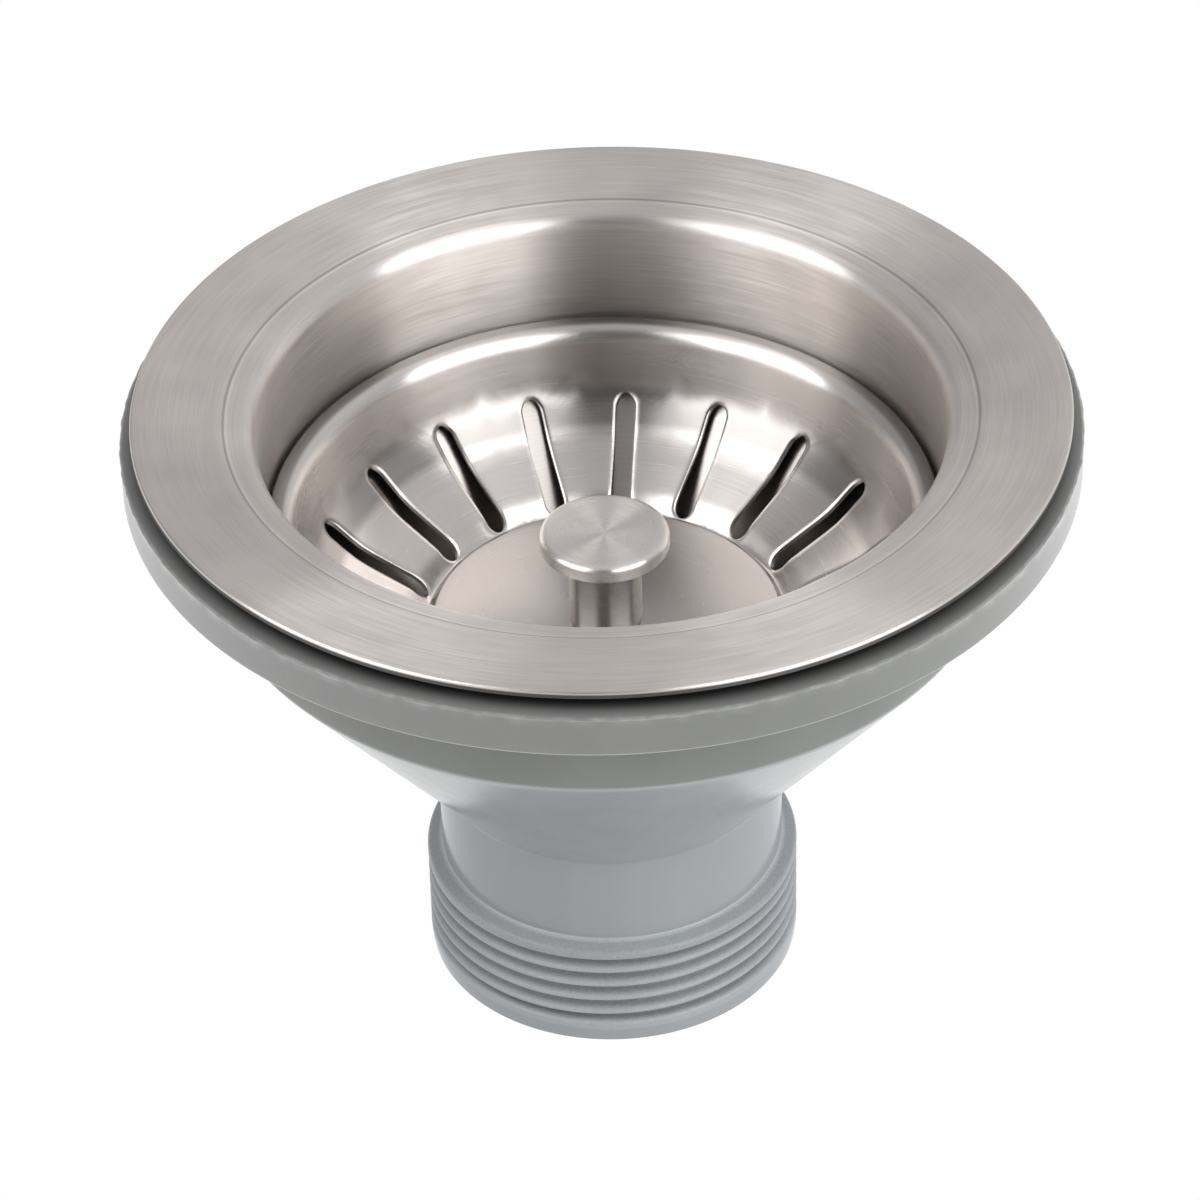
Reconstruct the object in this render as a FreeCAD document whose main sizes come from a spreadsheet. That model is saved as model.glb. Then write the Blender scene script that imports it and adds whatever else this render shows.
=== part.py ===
import FreeCAD, Part
import math
import os
import Sketcher

# Basket strainer waste for a kitchen sink, standing on its outlet end.
# Millimetres, +Z up, the axis of the waste is Z and the outlet end is at height zero.
# Depths are measured down from the highest point of the steel flange.

SIZES = {
    "total_height": 83.4,
    # Strainer bowl, pressed from one steel disc
    "bowl_sheet": 0.8,
    "bowl_radius": 42.3,
    "lip_width": 3.7,
    "lip_depth": 0.9,
    "flange_width": 11.4,
    "flange_turn_down": 1.0,
    "flange_edge_bend": 0.88,
    "bowl_mouth_depth": 1.6,
    "bowl_mouth_bend": 2.0,
    "bowl_wall_taper": 0.3,
    "bowl_floor_height": 16.5,
    "bowl_wall_bend": 6.0,
    "seat_radius": 24.5,
    "seat_depth": 38.0,
    "seat_bend": 3.0,
    "sump_radius": 18.0,
    "sump_mouth_bend": 1.2,
    "sump_taper": 1.0,
    "sump_height": 8.0,
    "sump_bend": 1.5,
    "drain_window_count": 6.0,
    "drain_inner_margin": 0.8,
    "drain_outer_margin": 2.0,
    "drain_spoke_half": 1.5,
    # Seals
    "seal_inset": 1.0,
    "seal_width": 7.5,
    "gasket_depth": 2.75,
    "gasket_thickness": 5.45,
    "gasket_overhang": 4.4,
    "gasket_edge": 0.35,
    "gasket_bore_clearance": 0.4,
    "gasket_spigot_width": 2.0,
    "gasket_spigot_height": 2.4,
    "gasket_spigot_play": 0.2,
    # Moulded waste body
    "clamp_flange_width": 6.0,
    "clamp_flange_thickness": 2.1,
    "clamp_flange_edge": 0.6,
    "rim_root_bend": 0.8,
    "rim_edge": 0.7,
    "rim_wall": 2.8,
    "cone_top_drop": 0.2,
    "cone_foot_depth": 55.4,
    "cone_foot_bend": 1.0,
    "neck_wall": 2.7,
    "outlet_bore_step": 0.3,
    "outlet_bore_length": 15.0,
    "collar_radius": 23.9,
    "collar_step": 1.9,
    "collar_length": 17.0,
    "collar_edge": 0.4,
    "collar_chamfer": 1.0,
    "collar_chamfer_height": 1.9,
    "boss_gap": 3.7,
    "boss_height": 14.5,
    "boss_wall": 3.4,
    "boss_edge": 0.8,
    "rib_count": 4.0,
    "rib_half_thickness": 1.3,
    "rib_turn": 45.0,
    "rib_root": 1.2,
    # Clamp screw, washer and insert nut
    "screw_radius": 5.0,
    "screw_hole_clearance": 0.4,
    "screw_head_overhang": 3.6,
    "screw_head_height": 2.8,
    "screw_head_edge": 0.6,
    "screw_end_length": 3.0,
    "screw_end_chamfer": 0.9,
    "screw_slot_half": 1.1,
    "screw_slot_depth": 1.3,
    "washer_overhang": 1.2,
    "washer_thickness": 1.2,
    "washer_edge": 0.25,
    "nut_wall": 3.0,
    "nut_height": 8.0,
    "nut_trap_clearance": 0.1,
    # Basket, pressed from a thinner sheet; heights count up from the stopper's seat
    "basket_sheet": 0.7,
    "basket_play": 0.5,
    "basket_rim_height": 8.6,
    "basket_rim_fall": 1.4,
    "basket_rim_bend": 0.9,
    "basket_rim_width": 3.2,
    "basket_rim_dip": 0.4,
    "basket_mouth_bend": 2.6,
    "basket_wall_taper": 1.5,
    "shoulder_height": 4.4,
    "shoulder_bend": 5.0,
    "waist_share": 0.65,
    "waist_height": 3.5,
    "waist_bend": 12.0,
    "knuckle_width": 2.0,
    "knuckle_height": 0.9,
    "knuckle_bend": 4.0,
    "gutter_inset": 1.5,
    "gutter_width": 0.5,
    "gutter_drop": 1.0,
    "gutter_bend": 0.3,
    "floor_edge_slope": 0.3,
    "floor_edge_bend": 0.85,
    "floor_height": 5.0,
    "slot_count": 18.0,
    "slot_inset": 0.2,
    "slot_margin": 0.5,
    "slot_half_width": 1.25,
    "slot_turn": 4.8,
    # Knob and stem
    "knob_radius": 8.15,
    "knob_thickness": 2.3,
    "knob_top_edge": 0.8,
    "knob_foot_edge": 0.7,
    "knob_rim_width": 1.25,
    "knob_dish_depth": 0.25,
    "knob_socket_depth": 1.3,
    "stem_height": 10.7,
    "stem_shoulder": 1.6,
    "stem_edge": 0.3,
    "knob_stud_shoulder": 2.6,
    "stud_radius": 3.0,
    "stud_hole_clearance": 0.15,
    "stud_grip": 2.8,
    "stud_end_clearance": 0.5,
    # Stopper, its washer, the spigot below it and the ring on the spigot
    "stopper_play": 0.4,
    "stopper_side_height": 1.3,
    "stopper_lip_margin": 2.5,
    "stopper_lip_width": 2.6,
    "stopper_lip_height": 0.5,
    "stopper_lip_slope": 2.6,
    "stopper_web": 2.5,
    "seat_clearance": 0.3,
    "retainer_overhang": 5.6,
    "retainer_thickness": 1.0,
    "spigot_wall": 2.0,
    "spigot_head_clearance": 0.4,
    "spigot_radius": 3.0,
    "spigot_fit": 0.05,
    "spigot_length": 10.0,
    "spigot_tip_chamfer": 0.7,
    "socket_end_clearance": 2.0,
    "ring_groove_depth": 0.9,
    "ring_groove_half": 0.5,
    "ring_drop": 5.0,
    "ring_section": 0.4,
}

FULL_TURN = 360.0
HEX_SIDES = 6
LEAST_CHANGE = 1e-6

# Radii that several pieces share
LIP_EDGE = "bowl_radius + lip_width"
SEAL_INSIDE = f"{LIP_EDGE} + seal_inset"
GASKET_BORE = "bowl_radius + bowl_sheet + gasket_bore_clearance"
RIM_INSIDE = f"{GASKET_BORE} + gasket_spigot_width + gasket_spigot_play"
RIM_OUTSIDE = f"{RIM_INSIDE} + rim_wall"
CLAMP_EDGE = f"{RIM_OUTSIDE} + clamp_flange_width"
NECK_OUTSIDE = "collar_radius - collar_step"
SCREW_HOLE = "screw_radius + screw_hole_clearance"
SCREW_HEAD = "screw_radius + screw_head_overhang"
WASHER_EDGE = f"{SCREW_HEAD} + washer_overhang"
NUT_FLATS = "screw_radius + nut_wall"
BASKET_EDGE = "bowl_radius - bowl_wall_taper - basket_play"
GUTTER_OUTSIDE = "seat_radius - gutter_inset"
GUTTER_INSIDE = f"{GUTTER_OUTSIDE} - gutter_width"
STUD_HOLE = "stud_radius + stud_hole_clearance"
STEM_OUTSIDE = "stud_radius + stem_shoulder"
KNOB_STUD = f"{STEM_OUTSIDE} - knob_stud_shoulder"

# Depths that several pieces share
BODY_TOP = "gasket_depth + gasket_thickness"
BOWL_WALL_FOOT = "seat_depth - bowl_floor_height"
CONE_TOP = f"{BOWL_WALL_FOOT} + cone_top_drop"
SUMP_FLOOR = "seat_depth + sump_height"
WASHER_TOP = f"{SUMP_FLOOR} - washer_thickness"
HEAD_TOP = f"{WASHER_TOP} - screw_head_height"
BOSS_TOP = f"{SUMP_FLOOR} + bowl_sheet + boss_gap"
BOSS_FOOT = f"{BOSS_TOP} + boss_height"
SCREW_END = f"{BOSS_FOOT} + screw_end_length"
BASKET_FLOOR = "seat_depth - floor_height"
KNUCKLE = f"{BASKET_FLOOR} - knuckle_height"
WAIST = f"{KNUCKLE} - waist_height"
SHOULDER = f"{WAIST} - shoulder_height"
BASKET_RIM = f"{SHOULDER} - basket_rim_height"
KNOB_FOOT = f"{BASKET_FLOOR} - stem_height"
KNOB_SOCKET = f"{KNOB_FOOT} - knob_socket_depth"
KNOB_TOP = f"{KNOB_FOOT} - knob_thickness"
STOPPER_TOP = f"{BASKET_FLOOR} + basket_sheet"
RETAINER_TOP = f"{STOPPER_TOP} + stopper_web"
SPIGOT_TOP = f"{RETAINER_TOP} + retainer_thickness"
STUD_END = f"{SPIGOT_TOP} + stud_grip"

doc = FreeCAD.newDocument("basket_strainer_waste")
sheet = doc.addObject("Spreadsheet::Sheet", "sizes")
for row, (alias, number) in enumerate(SIZES.items(), start=1):
    sheet.set(f"A{row}", alias)
    sheet.set(f"B{row}", str(number))
    sheet.setAlias(f"B{row}", alias)
doc.recompute()


def amount(words):
    """Number that a sum of aliases and products gives, such as 'lip_depth + bowl_sheet'."""
    total = 0.0
    term = None
    for word in words.split():
        if word in "+-":
            total += term or 0.0
            term = 1.0 if word == "+" else -1.0
        elif word != "*":
            term = SIZES[word] if term is None else term * SIZES[word]
    return total + term


def bound(words):
    """The same sum as an expression on the cells of the sheet."""
    return " ".join(word if word in "+-*" else f"sizes.{word}" for word in words.split())


def minus(words):
    """The same sum with every sign turned round."""
    flipped = {"+": "-", "-": "+"}
    return "- " + " ".join(flipped.get(word, word) for word in words.split())


def share_of(share, words):
    """The same sum with every term multiplied by a share."""
    return " ".join(word if word in "+-" else f"{share} * {word}" for word in words.split())


def down(words):
    """Height of a place that lies this far below the top of the flange."""
    return f"total_height {minus(words)}"


def origin_plane(body, role):
    """One of the body's own base planes."""
    for feature in body.Origin.OriginFeatures:
        if feature.Role == role:
            return feature
    raise RuntimeError(f"{body.Name} has no {role}")


def attached_sketch(body, name, role, height=None, turn=None):
    """Sketch on a base plane of the body, raised to a height and turned about Z."""
    sketch = body.newObject("Sketcher::SketchObject", name)
    sketch.AttachmentSupport = [(origin_plane(body, role), "")]
    sketch.MapMode = "FlatFace"
    if turn:
        sketch.AttachmentOffset = FreeCAD.Placement(
            FreeCAD.Vector(), FreeCAD.Rotation(FreeCAD.Vector(0, 0, 1), amount(turn))
        )
        sketch.setExpression("AttachmentOffset.Rotation.Angle", bound(turn))
    if height:
        sketch.setExpression("AttachmentOffset.Base.z", bound(height))
    return sketch


def pin_point(sketch, item, end, across, up):
    """Ties one point of a sketch to its place; None puts it on the axis."""
    for kind, words, axis in (("DistanceX", across, -2), ("DistanceY", up, -1)):
        if words is None:
            sketch.addConstraint(Sketcher.Constraint("PointOnObject", item, end, axis))
        else:
            size = amount(words)
            index = sketch.addConstraint(
                Sketcher.Constraint(kind, -1, 1, item, end, size)
            )
            sketch.setExpression(f"Constraints[{index}]", bound(words))


def bend_geometry(before, corner, after, radius):
    """Where a bend of this radius touches the two lines of a corner, and its centre."""
    to_before = (before - corner).normalize()
    to_after = (after - corner).normalize()
    half = to_before.getAngle(to_after) / 2.0
    reach = radius / math.tan(half)
    centre = corner + (to_before + to_after).normalize() * (radius / math.sin(half))
    turns_left = (corner - before).cross(after - corner).z > 0
    return corner + to_before * reach, corner + to_after * reach, centre, turns_left


def draw_outline(sketch, corners, closed=True):
    """Lines between corners, each corner (across, up, bend) with a tangent bend or none."""
    places = [
        FreeCAD.Vector(
            0.0 if across is None else amount(across), 0.0 if up is None else amount(up), 0
        )
        for across, up, bend in corners
    ]
    count = len(corners)
    entries, exits, arcs = [], [], []
    for index, (across, up, bend) in enumerate(corners):
        if bend is None:
            entries.append(places[index])
            exits.append(places[index])
            arcs.append(None)
            continue
        entry, leave, centre, turns_left = bend_geometry(
            places[index - 1], places[index], places[(index + 1) % count], amount(bend)
        )
        first, last = (entry, leave) if turns_left else (leave, entry)
        circle = Part.Circle(centre, FreeCAD.Vector(0, 0, 1), amount(bend))
        arc = Part.ArcOfCircle(circle, circle.parameter(first), circle.parameter(last))
        entries.append(entry)
        exits.append(leave)
        arcs.append((arc, turns_left))
    line_count = count if closed else count - 1
    lines = [
        sketch.addGeometry(
            Part.LineSegment(exits[index], entries[(index + 1) % count]), False
        )
        for index in range(line_count)
    ]
    for index, (across, up, bend) in enumerate(corners):
        line_in = lines[index - 1] if closed or index > 0 else None
        line_out = lines[index] if index < line_count else None
        if bend is None:
            if line_in is not None and line_out is not None:
                sketch.addConstraint(
                    Sketcher.Constraint("Coincident", line_in, 2, line_out, 1)
                )
            if line_out is not None:
                pin_point(sketch, line_out, 1, across, up)
            else:
                pin_point(sketch, line_in, 2, across, up)
            continue
        arc, turns_left = arcs[index]
        arc_item = sketch.addGeometry(arc, False)
        corner_item = sketch.addGeometry(Part.Point(places[index]), True)
        start, end = (1, 2) if turns_left else (2, 1)
        sketch.addConstraint(
            [
                Sketcher.Constraint("Tangent", line_in, 2, arc_item, start),
                Sketcher.Constraint("Tangent", arc_item, end, line_out, 1),
                Sketcher.Constraint("PointOnObject", corner_item, 1, line_in),
                Sketcher.Constraint("PointOnObject", corner_item, 1, line_out),
            ]
        )
        pin_point(sketch, corner_item, 1, across, up)
        size = sketch.addConstraint(Sketcher.Constraint("Radius", arc_item, amount(bend)))
        sketch.setExpression(f"Constraints[{size}]", bound(bend))


def turned(name, corners):
    """Body turned about Z from the outline of half its section."""
    body = doc.addObject("PartDesign::Body", name)
    body.Label = name
    section = attached_sketch(body, f"{name}_section", "XZ_Plane")
    draw_outline(section, corners)
    turning = body.newObject("PartDesign::Revolution", f"{name}_turning")
    turning.Profile = section
    turning.ReferenceAxis = (section, ["V_Axis"])
    turning.Angle = FULL_TURN
    return body


def pressed(name, line, thickness):
    """Body of sheet metal: the line of its upper face, given a thickness and turned about Z."""
    section = doc.addObject("Sketcher::SketchObject", f"{name}_line")
    section.Placement = FreeCAD.Placement(
        FreeCAD.Vector(), FreeCAD.Rotation(FreeCAD.Vector(1, 0, 0), FULL_TURN / 4)
    )
    draw_outline(section, line, closed=False)
    wall = doc.addObject("Part::Offset2D", f"{name}_wall")
    wall.Source = section
    wall.Mode = "Skin"
    wall.Join = "Intersection"
    wall.Fill = True
    wall.setExpression("Value", bound(thickness))
    blank = doc.addObject("Part::Revolution", f"{name}_blank")
    blank.Source = wall
    blank.Axis = FreeCAD.Vector(0, 0, 1)
    blank.Angle = FULL_TURN
    blank.Solid = True
    doc.recompute()
    body = doc.addObject("PartDesign::Body", name)
    body.Label = name
    body.BaseFeature = blank
    doc.recompute()
    return body


def cut(body, sketch, name, depth=None, upwards=False):
    """Cuts a sketch into the body, to a depth or right through, and checks that it cut."""
    before = body.Shape.Volume
    pocket = body.newObject("PartDesign::Pocket", name)
    pocket.Profile = sketch
    pocket.Reversed = upwards
    if depth:
        pocket.setExpression("Length", bound(depth))
    else:
        pocket.Type = "ThroughAll"
    doc.recompute()
    if body.Shape.Volume > before - LEAST_CHANGE:
        raise RuntimeError(f"{name} cuts nothing")
    return pocket


def repeat_round(body, feature, sketch, name, count):
    """Repeats one feature round Z and checks that the copies changed the body."""
    single = body.Shape.Volume
    pattern = body.newObject("PartDesign::PolarPattern", f"{name}_ring")
    pattern.Originals = [feature]
    pattern.Axis = (sketch, ["N_Axis"])
    pattern.Angle = FULL_TURN
    pattern.setExpression("Occurrences", bound(count))
    body.Tip = pattern
    doc.recompute()
    if abs(body.Shape.Volume - single) < LEAST_CHANGE:
        raise RuntimeError(f"{name} isn't repeated")


def draw_circle(sketch, radius):
    """Circle about the origin."""
    circle = sketch.addGeometry(
        Part.Circle(FreeCAD.Vector(), FreeCAD.Vector(0, 0, 1), amount(radius)), False
    )
    sketch.addConstraint(Sketcher.Constraint("Coincident", circle, 3, -1, 1))
    size = sketch.addConstraint(Sketcher.Constraint("Radius", circle, amount(radius)))
    sketch.setExpression(f"Constraints[{size}]", bound(radius))


def draw_strip(sketch, near, far, half_width):
    """Straight strip along X, as wide on each side of the axis as half_width."""
    half = amount(half_width)
    corners = [
        FreeCAD.Vector(amount(near), -half, 0),
        FreeCAD.Vector(amount(far), -half, 0),
        FreeCAD.Vector(amount(far), half, 0),
        FreeCAD.Vector(amount(near), half, 0),
    ]
    lines = [
        sketch.addGeometry(Part.LineSegment(corner, following), False)
        for corner, following in zip(corners, corners[1:] + corners[:1])
    ]
    for line, following in zip(lines, lines[1:] + lines[:1]):
        sketch.addConstraint(Sketcher.Constraint("Coincident", line, 2, following, 1))
    lower, far_end, upper, near_end = lines
    sketch.addConstraint(Sketcher.Constraint("Horizontal", lower))
    sketch.addConstraint(Sketcher.Constraint("Vertical", far_end))
    sketch.addConstraint(Sketcher.Constraint("Horizontal", upper))
    sketch.addConstraint(Sketcher.Constraint("Symmetric", near_end, 1, near_end, 2, -1))
    for kind, item, words in (
        ("DistanceX", lower, near),
        ("DistanceX", far_end, far),
        ("DistanceY", upper, half_width),
    ):
        index = sketch.addConstraint(
            Sketcher.Constraint(kind, -1, 1, item, 1, amount(words))
        )
        sketch.setExpression(f"Constraints[{index}]", bound(words))


def draw_hexagon(sketch, half_flats):
    """Regular hexagon about the origin, set by half its width across flats."""
    corner = amount(half_flats) / math.cos(math.pi / HEX_SIDES)
    step = 2.0 * math.pi / HEX_SIDES
    corners = [
        FreeCAD.Vector(corner * math.cos(step * turn), corner * math.sin(step * turn), 0)
        for turn in range(HEX_SIDES)
    ]
    sides = [
        sketch.addGeometry(
            Part.LineSegment(corners[turn], corners[(turn + 1) % HEX_SIDES]), False
        )
        for turn in range(HEX_SIDES)
    ]
    flats = sketch.addGeometry(
        Part.Circle(FreeCAD.Vector(), FreeCAD.Vector(0, 0, 1), amount(half_flats)), True
    )
    sketch.addConstraint(Sketcher.Constraint("Coincident", flats, 3, -1, 1))
    size = sketch.addConstraint(Sketcher.Constraint("Radius", flats, amount(half_flats)))
    sketch.setExpression(f"Constraints[{size}]", bound(half_flats))
    for turn in range(HEX_SIDES):
        following = sides[(turn + 1) % HEX_SIDES]
        sketch.addConstraint(Sketcher.Constraint("Coincident", sides[turn], 2, following, 1))
        sketch.addConstraint(Sketcher.Constraint("Tangent", sides[turn], flats))
    for turn in range(1, HEX_SIDES - 1):
        sketch.addConstraint(Sketcher.Constraint("Equal", sides[0], sides[turn]))
    sketch.addConstraint(Sketcher.Constraint("PointOnObject", sides[0], 1, -1))


def draw_radial_slot(sketch, inner, outer, half_width):
    """Slot along X with round ends: two straight sides and two half circles."""
    end_radius = amount(half_width)
    near = amount(inner) + end_radius
    far = amount(outer) - end_radius
    normal = FreeCAD.Vector(0, 0, 1)
    quarter = math.pi / 2.0
    near_end = sketch.addGeometry(
        Part.ArcOfCircle(
            Part.Circle(FreeCAD.Vector(near, 0, 0), normal, end_radius), quarter, 3 * quarter
        ),
        False,
    )
    far_end = sketch.addGeometry(
        Part.ArcOfCircle(
            Part.Circle(FreeCAD.Vector(far, 0, 0), normal, end_radius), -quarter, quarter
        ),
        False,
    )
    lower = sketch.addGeometry(
        Part.LineSegment(
            FreeCAD.Vector(near, -end_radius, 0), FreeCAD.Vector(far, -end_radius, 0)
        ),
        False,
    )
    upper = sketch.addGeometry(
        Part.LineSegment(
            FreeCAD.Vector(far, end_radius, 0), FreeCAD.Vector(near, end_radius, 0)
        ),
        False,
    )
    sketch.addConstraint(
        [
            Sketcher.Constraint("Tangent", near_end, 2, lower, 1),
            Sketcher.Constraint("Tangent", lower, 2, far_end, 1),
            Sketcher.Constraint("Tangent", far_end, 2, upper, 1),
            Sketcher.Constraint("Tangent", upper, 2, near_end, 1),
            Sketcher.Constraint("PointOnObject", near_end, 3, -1),
            Sketcher.Constraint("PointOnObject", far_end, 3, -1),
        ]
    )
    size = sketch.addConstraint(Sketcher.Constraint("Radius", near_end, end_radius))
    sketch.setExpression(f"Constraints[{size}]", bound(half_width))
    for item, words, place in (
        (near_end, f"{inner} + {half_width}", near),
        (far_end, f"{outer} - {half_width}", far),
    ):
        index = sketch.addConstraint(Sketcher.Constraint("DistanceX", -1, 1, item, 3, place))
        sketch.setExpression(f"Constraints[{index}]", bound(words))


def draw_window(sketch, inner, outer, spoke_half, count):
    """Arched window about X: two arcs about Z, and sides parallel to the spokes beside it."""
    half_pitch = math.pi / SIZES[count]
    reach = [amount(inner), amount(outer)]
    offset = amount(spoke_half)
    normal = FreeCAD.Vector(0, 0, 1)
    ends = [half_pitch - math.asin(offset / radius) for radius in reach]
    arcs = [
        sketch.addGeometry(
            Part.ArcOfCircle(Part.Circle(FreeCAD.Vector(), normal, radius), -end, end), False
        )
        for radius, end in zip(reach, ends)
    ]
    for item, words in zip(arcs, (inner, outer)):
        sketch.addConstraint(Sketcher.Constraint("Coincident", item, 3, -1, 1))
        size = sketch.addConstraint(Sketcher.Constraint("Radius", item, amount(words)))
        sketch.setExpression(f"Constraints[{size}]", bound(words))
    for side, arc_end in ((-1.0, 1), (1.0, 2)):
        points = [
            FreeCAD.Vector(radius * math.cos(end), side * radius * math.sin(end), 0)
            for radius, end in zip(reach, ends)
        ]
        line = sketch.addGeometry(Part.LineSegment(*points), False)
        sketch.addConstraint(
            [
                Sketcher.Constraint("Coincident", line, 1, arcs[0], arc_end),
                Sketcher.Constraint("Coincident", line, 2, arcs[1], arc_end),
            ]
        )
        turn = sketch.addConstraint(Sketcher.Constraint("Angle", line, side * half_pitch))
        flipped = "-" if side < 0 else ""
        sketch.setExpression(f"Constraints[{turn}]", f"{flipped}180 deg / sizes.{count}")
        gap = sketch.addConstraint(Sketcher.Constraint("Distance", -1, 1, line, offset))
        sketch.setExpression(f"Constraints[{gap}]", bound(spoke_half))


def make_strainer_bowl():
    """Flange, lip, wall, sloping floor, seat for the stopper and sump, from one sheet."""
    flange_edge = f"{LIP_EDGE} + flange_width"
    bowl = pressed(
        "strainer_bowl",
        [
            (flange_edge, down("flange_turn_down"), None),
            (flange_edge, "total_height", "flange_edge_bend"),
            (LIP_EDGE, down("lip_depth"), None),
            ("bowl_radius", down("bowl_mouth_depth"), "bowl_mouth_bend"),
            ("bowl_radius - bowl_wall_taper", down(BOWL_WALL_FOOT), "bowl_wall_bend"),
            ("seat_radius", down("seat_depth"), "seat_bend"),
            ("sump_radius", down("seat_depth"), "sump_mouth_bend"),
            ("sump_radius - sump_taper", down(SUMP_FLOOR), "sump_bend"),
            (SCREW_HOLE, down(SUMP_FLOOR), None),
        ],
        "bowl_sheet",
    )
    window = attached_sketch(bowl, "drain_window", "XY_Plane", height="total_height")
    draw_window(
        window,
        f"{WASHER_EDGE} + drain_inner_margin",
        "sump_radius - sump_taper - drain_outer_margin",
        "drain_spoke_half",
        "drain_window_count",
    )
    windows = cut(bowl, window, "drain_windows")
    repeat_round(bowl, windows, window, "drain_windows", "drain_window_count")
    return bowl


def make_flange_seal():
    """Thin dark ring between the flange and whatever the waste is clamped to."""
    top = down("lip_depth + bowl_sheet")
    foot = down("gasket_depth")
    return turned(
        "flange_seal",
        [
            (SEAL_INSIDE, foot, None),
            (f"{SEAL_INSIDE} + seal_width", foot, None),
            (f"{SEAL_INSIDE} + seal_width", top, None),
            (SEAL_INSIDE, top, None),
        ],
    )


def make_sink_gasket():
    """Thick grey ring that seals below, with a spigot that centres it in the body."""
    top = down("gasket_depth")
    foot = down(BODY_TOP)
    spigot_foot = down(f"{BODY_TOP} + gasket_spigot_height")
    spigot_outside = f"{GASKET_BORE} + gasket_spigot_width"
    outside = f"{CLAMP_EDGE} + gasket_overhang"
    return turned(
        "sink_gasket",
        [
            (GASKET_BORE, top, None),
            (GASKET_BORE, spigot_foot, None),
            (spigot_outside, spigot_foot, None),
            (spigot_outside, foot, None),
            (outside, foot, "gasket_edge"),
            (outside, top, "gasket_edge"),
        ],
    )


def make_waste_body():
    """Clamping flange, rim, cone, neck and threaded collar, with a boss on four ribs."""
    top = down(BODY_TOP)
    flange_foot = down(f"{BODY_TOP} + clamp_flange_thickness")
    neck_inside = f"{NECK_OUTSIDE} - neck_wall"
    body = turned(
        "waste_body",
        [
            (RIM_INSIDE, top, None),
            (RIM_INSIDE, down(CONE_TOP), None),
            (neck_inside, down("cone_foot_depth"), None),
            (neck_inside, "outlet_bore_length", None),
            (f"{neck_inside} + outlet_bore_step", "outlet_bore_length", None),
            (f"{neck_inside} + outlet_bore_step", None, None),
            ("collar_radius - collar_chamfer", None, None),
            ("collar_radius", "collar_chamfer_height", None),
            ("collar_radius", "collar_length", "collar_edge"),
            (NECK_OUTSIDE, "collar_length", None),
            (NECK_OUTSIDE, down("cone_foot_depth"), "cone_foot_bend"),
            (RIM_OUTSIDE, down(CONE_TOP), "rim_edge"),
            (RIM_OUTSIDE, flange_foot, "rim_root_bend"),
            (CLAMP_EDGE, flange_foot, "clamp_flange_edge"),
            (CLAMP_EDGE, top, "clamp_flange_edge"),
        ],
    )
    doc.recompute()
    add_boss_and_ribs(body)
    return body


def add_boss_and_ribs(body):
    """Boss for the clamp screw on the axis, and the ribs that carry it in the neck."""
    foot = down(BOSS_FOOT)
    boss_outside = f"{NUT_FLATS} + nut_trap_clearance + boss_wall"
    rib = attached_sketch(body, "rib_plan", "XY_Plane", height=foot, turn="rib_turn")
    rib_ends = ("screw_radius + rib_root", f"{NECK_OUTSIDE} - rib_root")
    draw_strip(rib, *rib_ends, "rib_half_thickness")
    pad = body.newObject("PartDesign::Pad", "rib")
    pad.Profile = rib
    pad.setExpression("Length", bound(f"{BOSS_FOOT} - cone_foot_depth"))
    body.Tip = pad
    doc.recompute()
    repeat_round(body, pad, rib, "ribs", "rib_count")
    boss = attached_sketch(body, "boss_section", "XZ_Plane")
    draw_outline(
        boss,
        [
            (None, foot, None),
            (boss_outside, foot, None),
            (boss_outside, down(BOSS_TOP), "boss_edge"),
            (None, down(BOSS_TOP), None),
        ],
    )
    ribbed = body.Shape.Volume
    turning = body.newObject("PartDesign::Revolution", "boss")
    turning.Profile = boss
    turning.ReferenceAxis = (boss, ["V_Axis"])
    turning.Angle = FULL_TURN
    doc.recompute()
    if body.Shape.Volume < ribbed + LEAST_CHANGE:
        raise RuntimeError("the boss adds nothing")
    trap = attached_sketch(body, "nut_trap_plan", "XY_Plane", height=foot)
    draw_hexagon(trap, f"{NUT_FLATS} + nut_trap_clearance")
    cut(body, trap, "nut_trap", "nut_height", upwards=True)
    hole = attached_sketch(body, "screw_hole_plan", "XY_Plane", height=foot)
    draw_circle(hole, SCREW_HOLE)
    cut(body, hole, "screw_hole", "boss_height", upwards=True)


def make_clamp_screw():
    """Cheese head with a driver slot, plain shank and a blind socket for the spigot."""
    end = down(SCREW_END)
    head_top = down(HEAD_TOP)
    head_foot = down(WASHER_TOP)
    socket = "spigot_radius + spigot_fit"
    socket_floor = down(f"{HEAD_TOP} + spigot_length + socket_end_clearance")
    screw = turned(
        "clamp_screw",
        [
            (None, end, None),
            ("screw_radius - screw_end_chamfer", end, None),
            ("screw_radius", f"{end} + screw_end_chamfer", None),
            ("screw_radius", head_foot, None),
            (SCREW_HEAD, head_foot, None),
            (SCREW_HEAD, head_top, "screw_head_edge"),
            (socket, head_top, None),
            (socket, socket_floor, None),
            (None, socket_floor, None),
        ],
    )
    doc.recompute()
    slot = attached_sketch(screw, "driver_slot_plan", "XY_Plane", height=head_top)
    past_head = f"{SCREW_HEAD} + screw_head_edge"
    draw_strip(slot, minus(past_head), past_head, "screw_slot_half")
    cut(screw, slot, "driver_slot", "screw_slot_depth")
    return screw


def make_washer():
    """Flat washer under the head of the clamp screw, with its upper edge eased."""
    return turned(
        "screw_washer",
        [
            (SCREW_HOLE, down(SUMP_FLOOR), None),
            (WASHER_EDGE, down(SUMP_FLOOR), None),
            (WASHER_EDGE, down(WASHER_TOP), "washer_edge"),
            (SCREW_HOLE, down(WASHER_TOP), None),
        ],
    )


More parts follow.
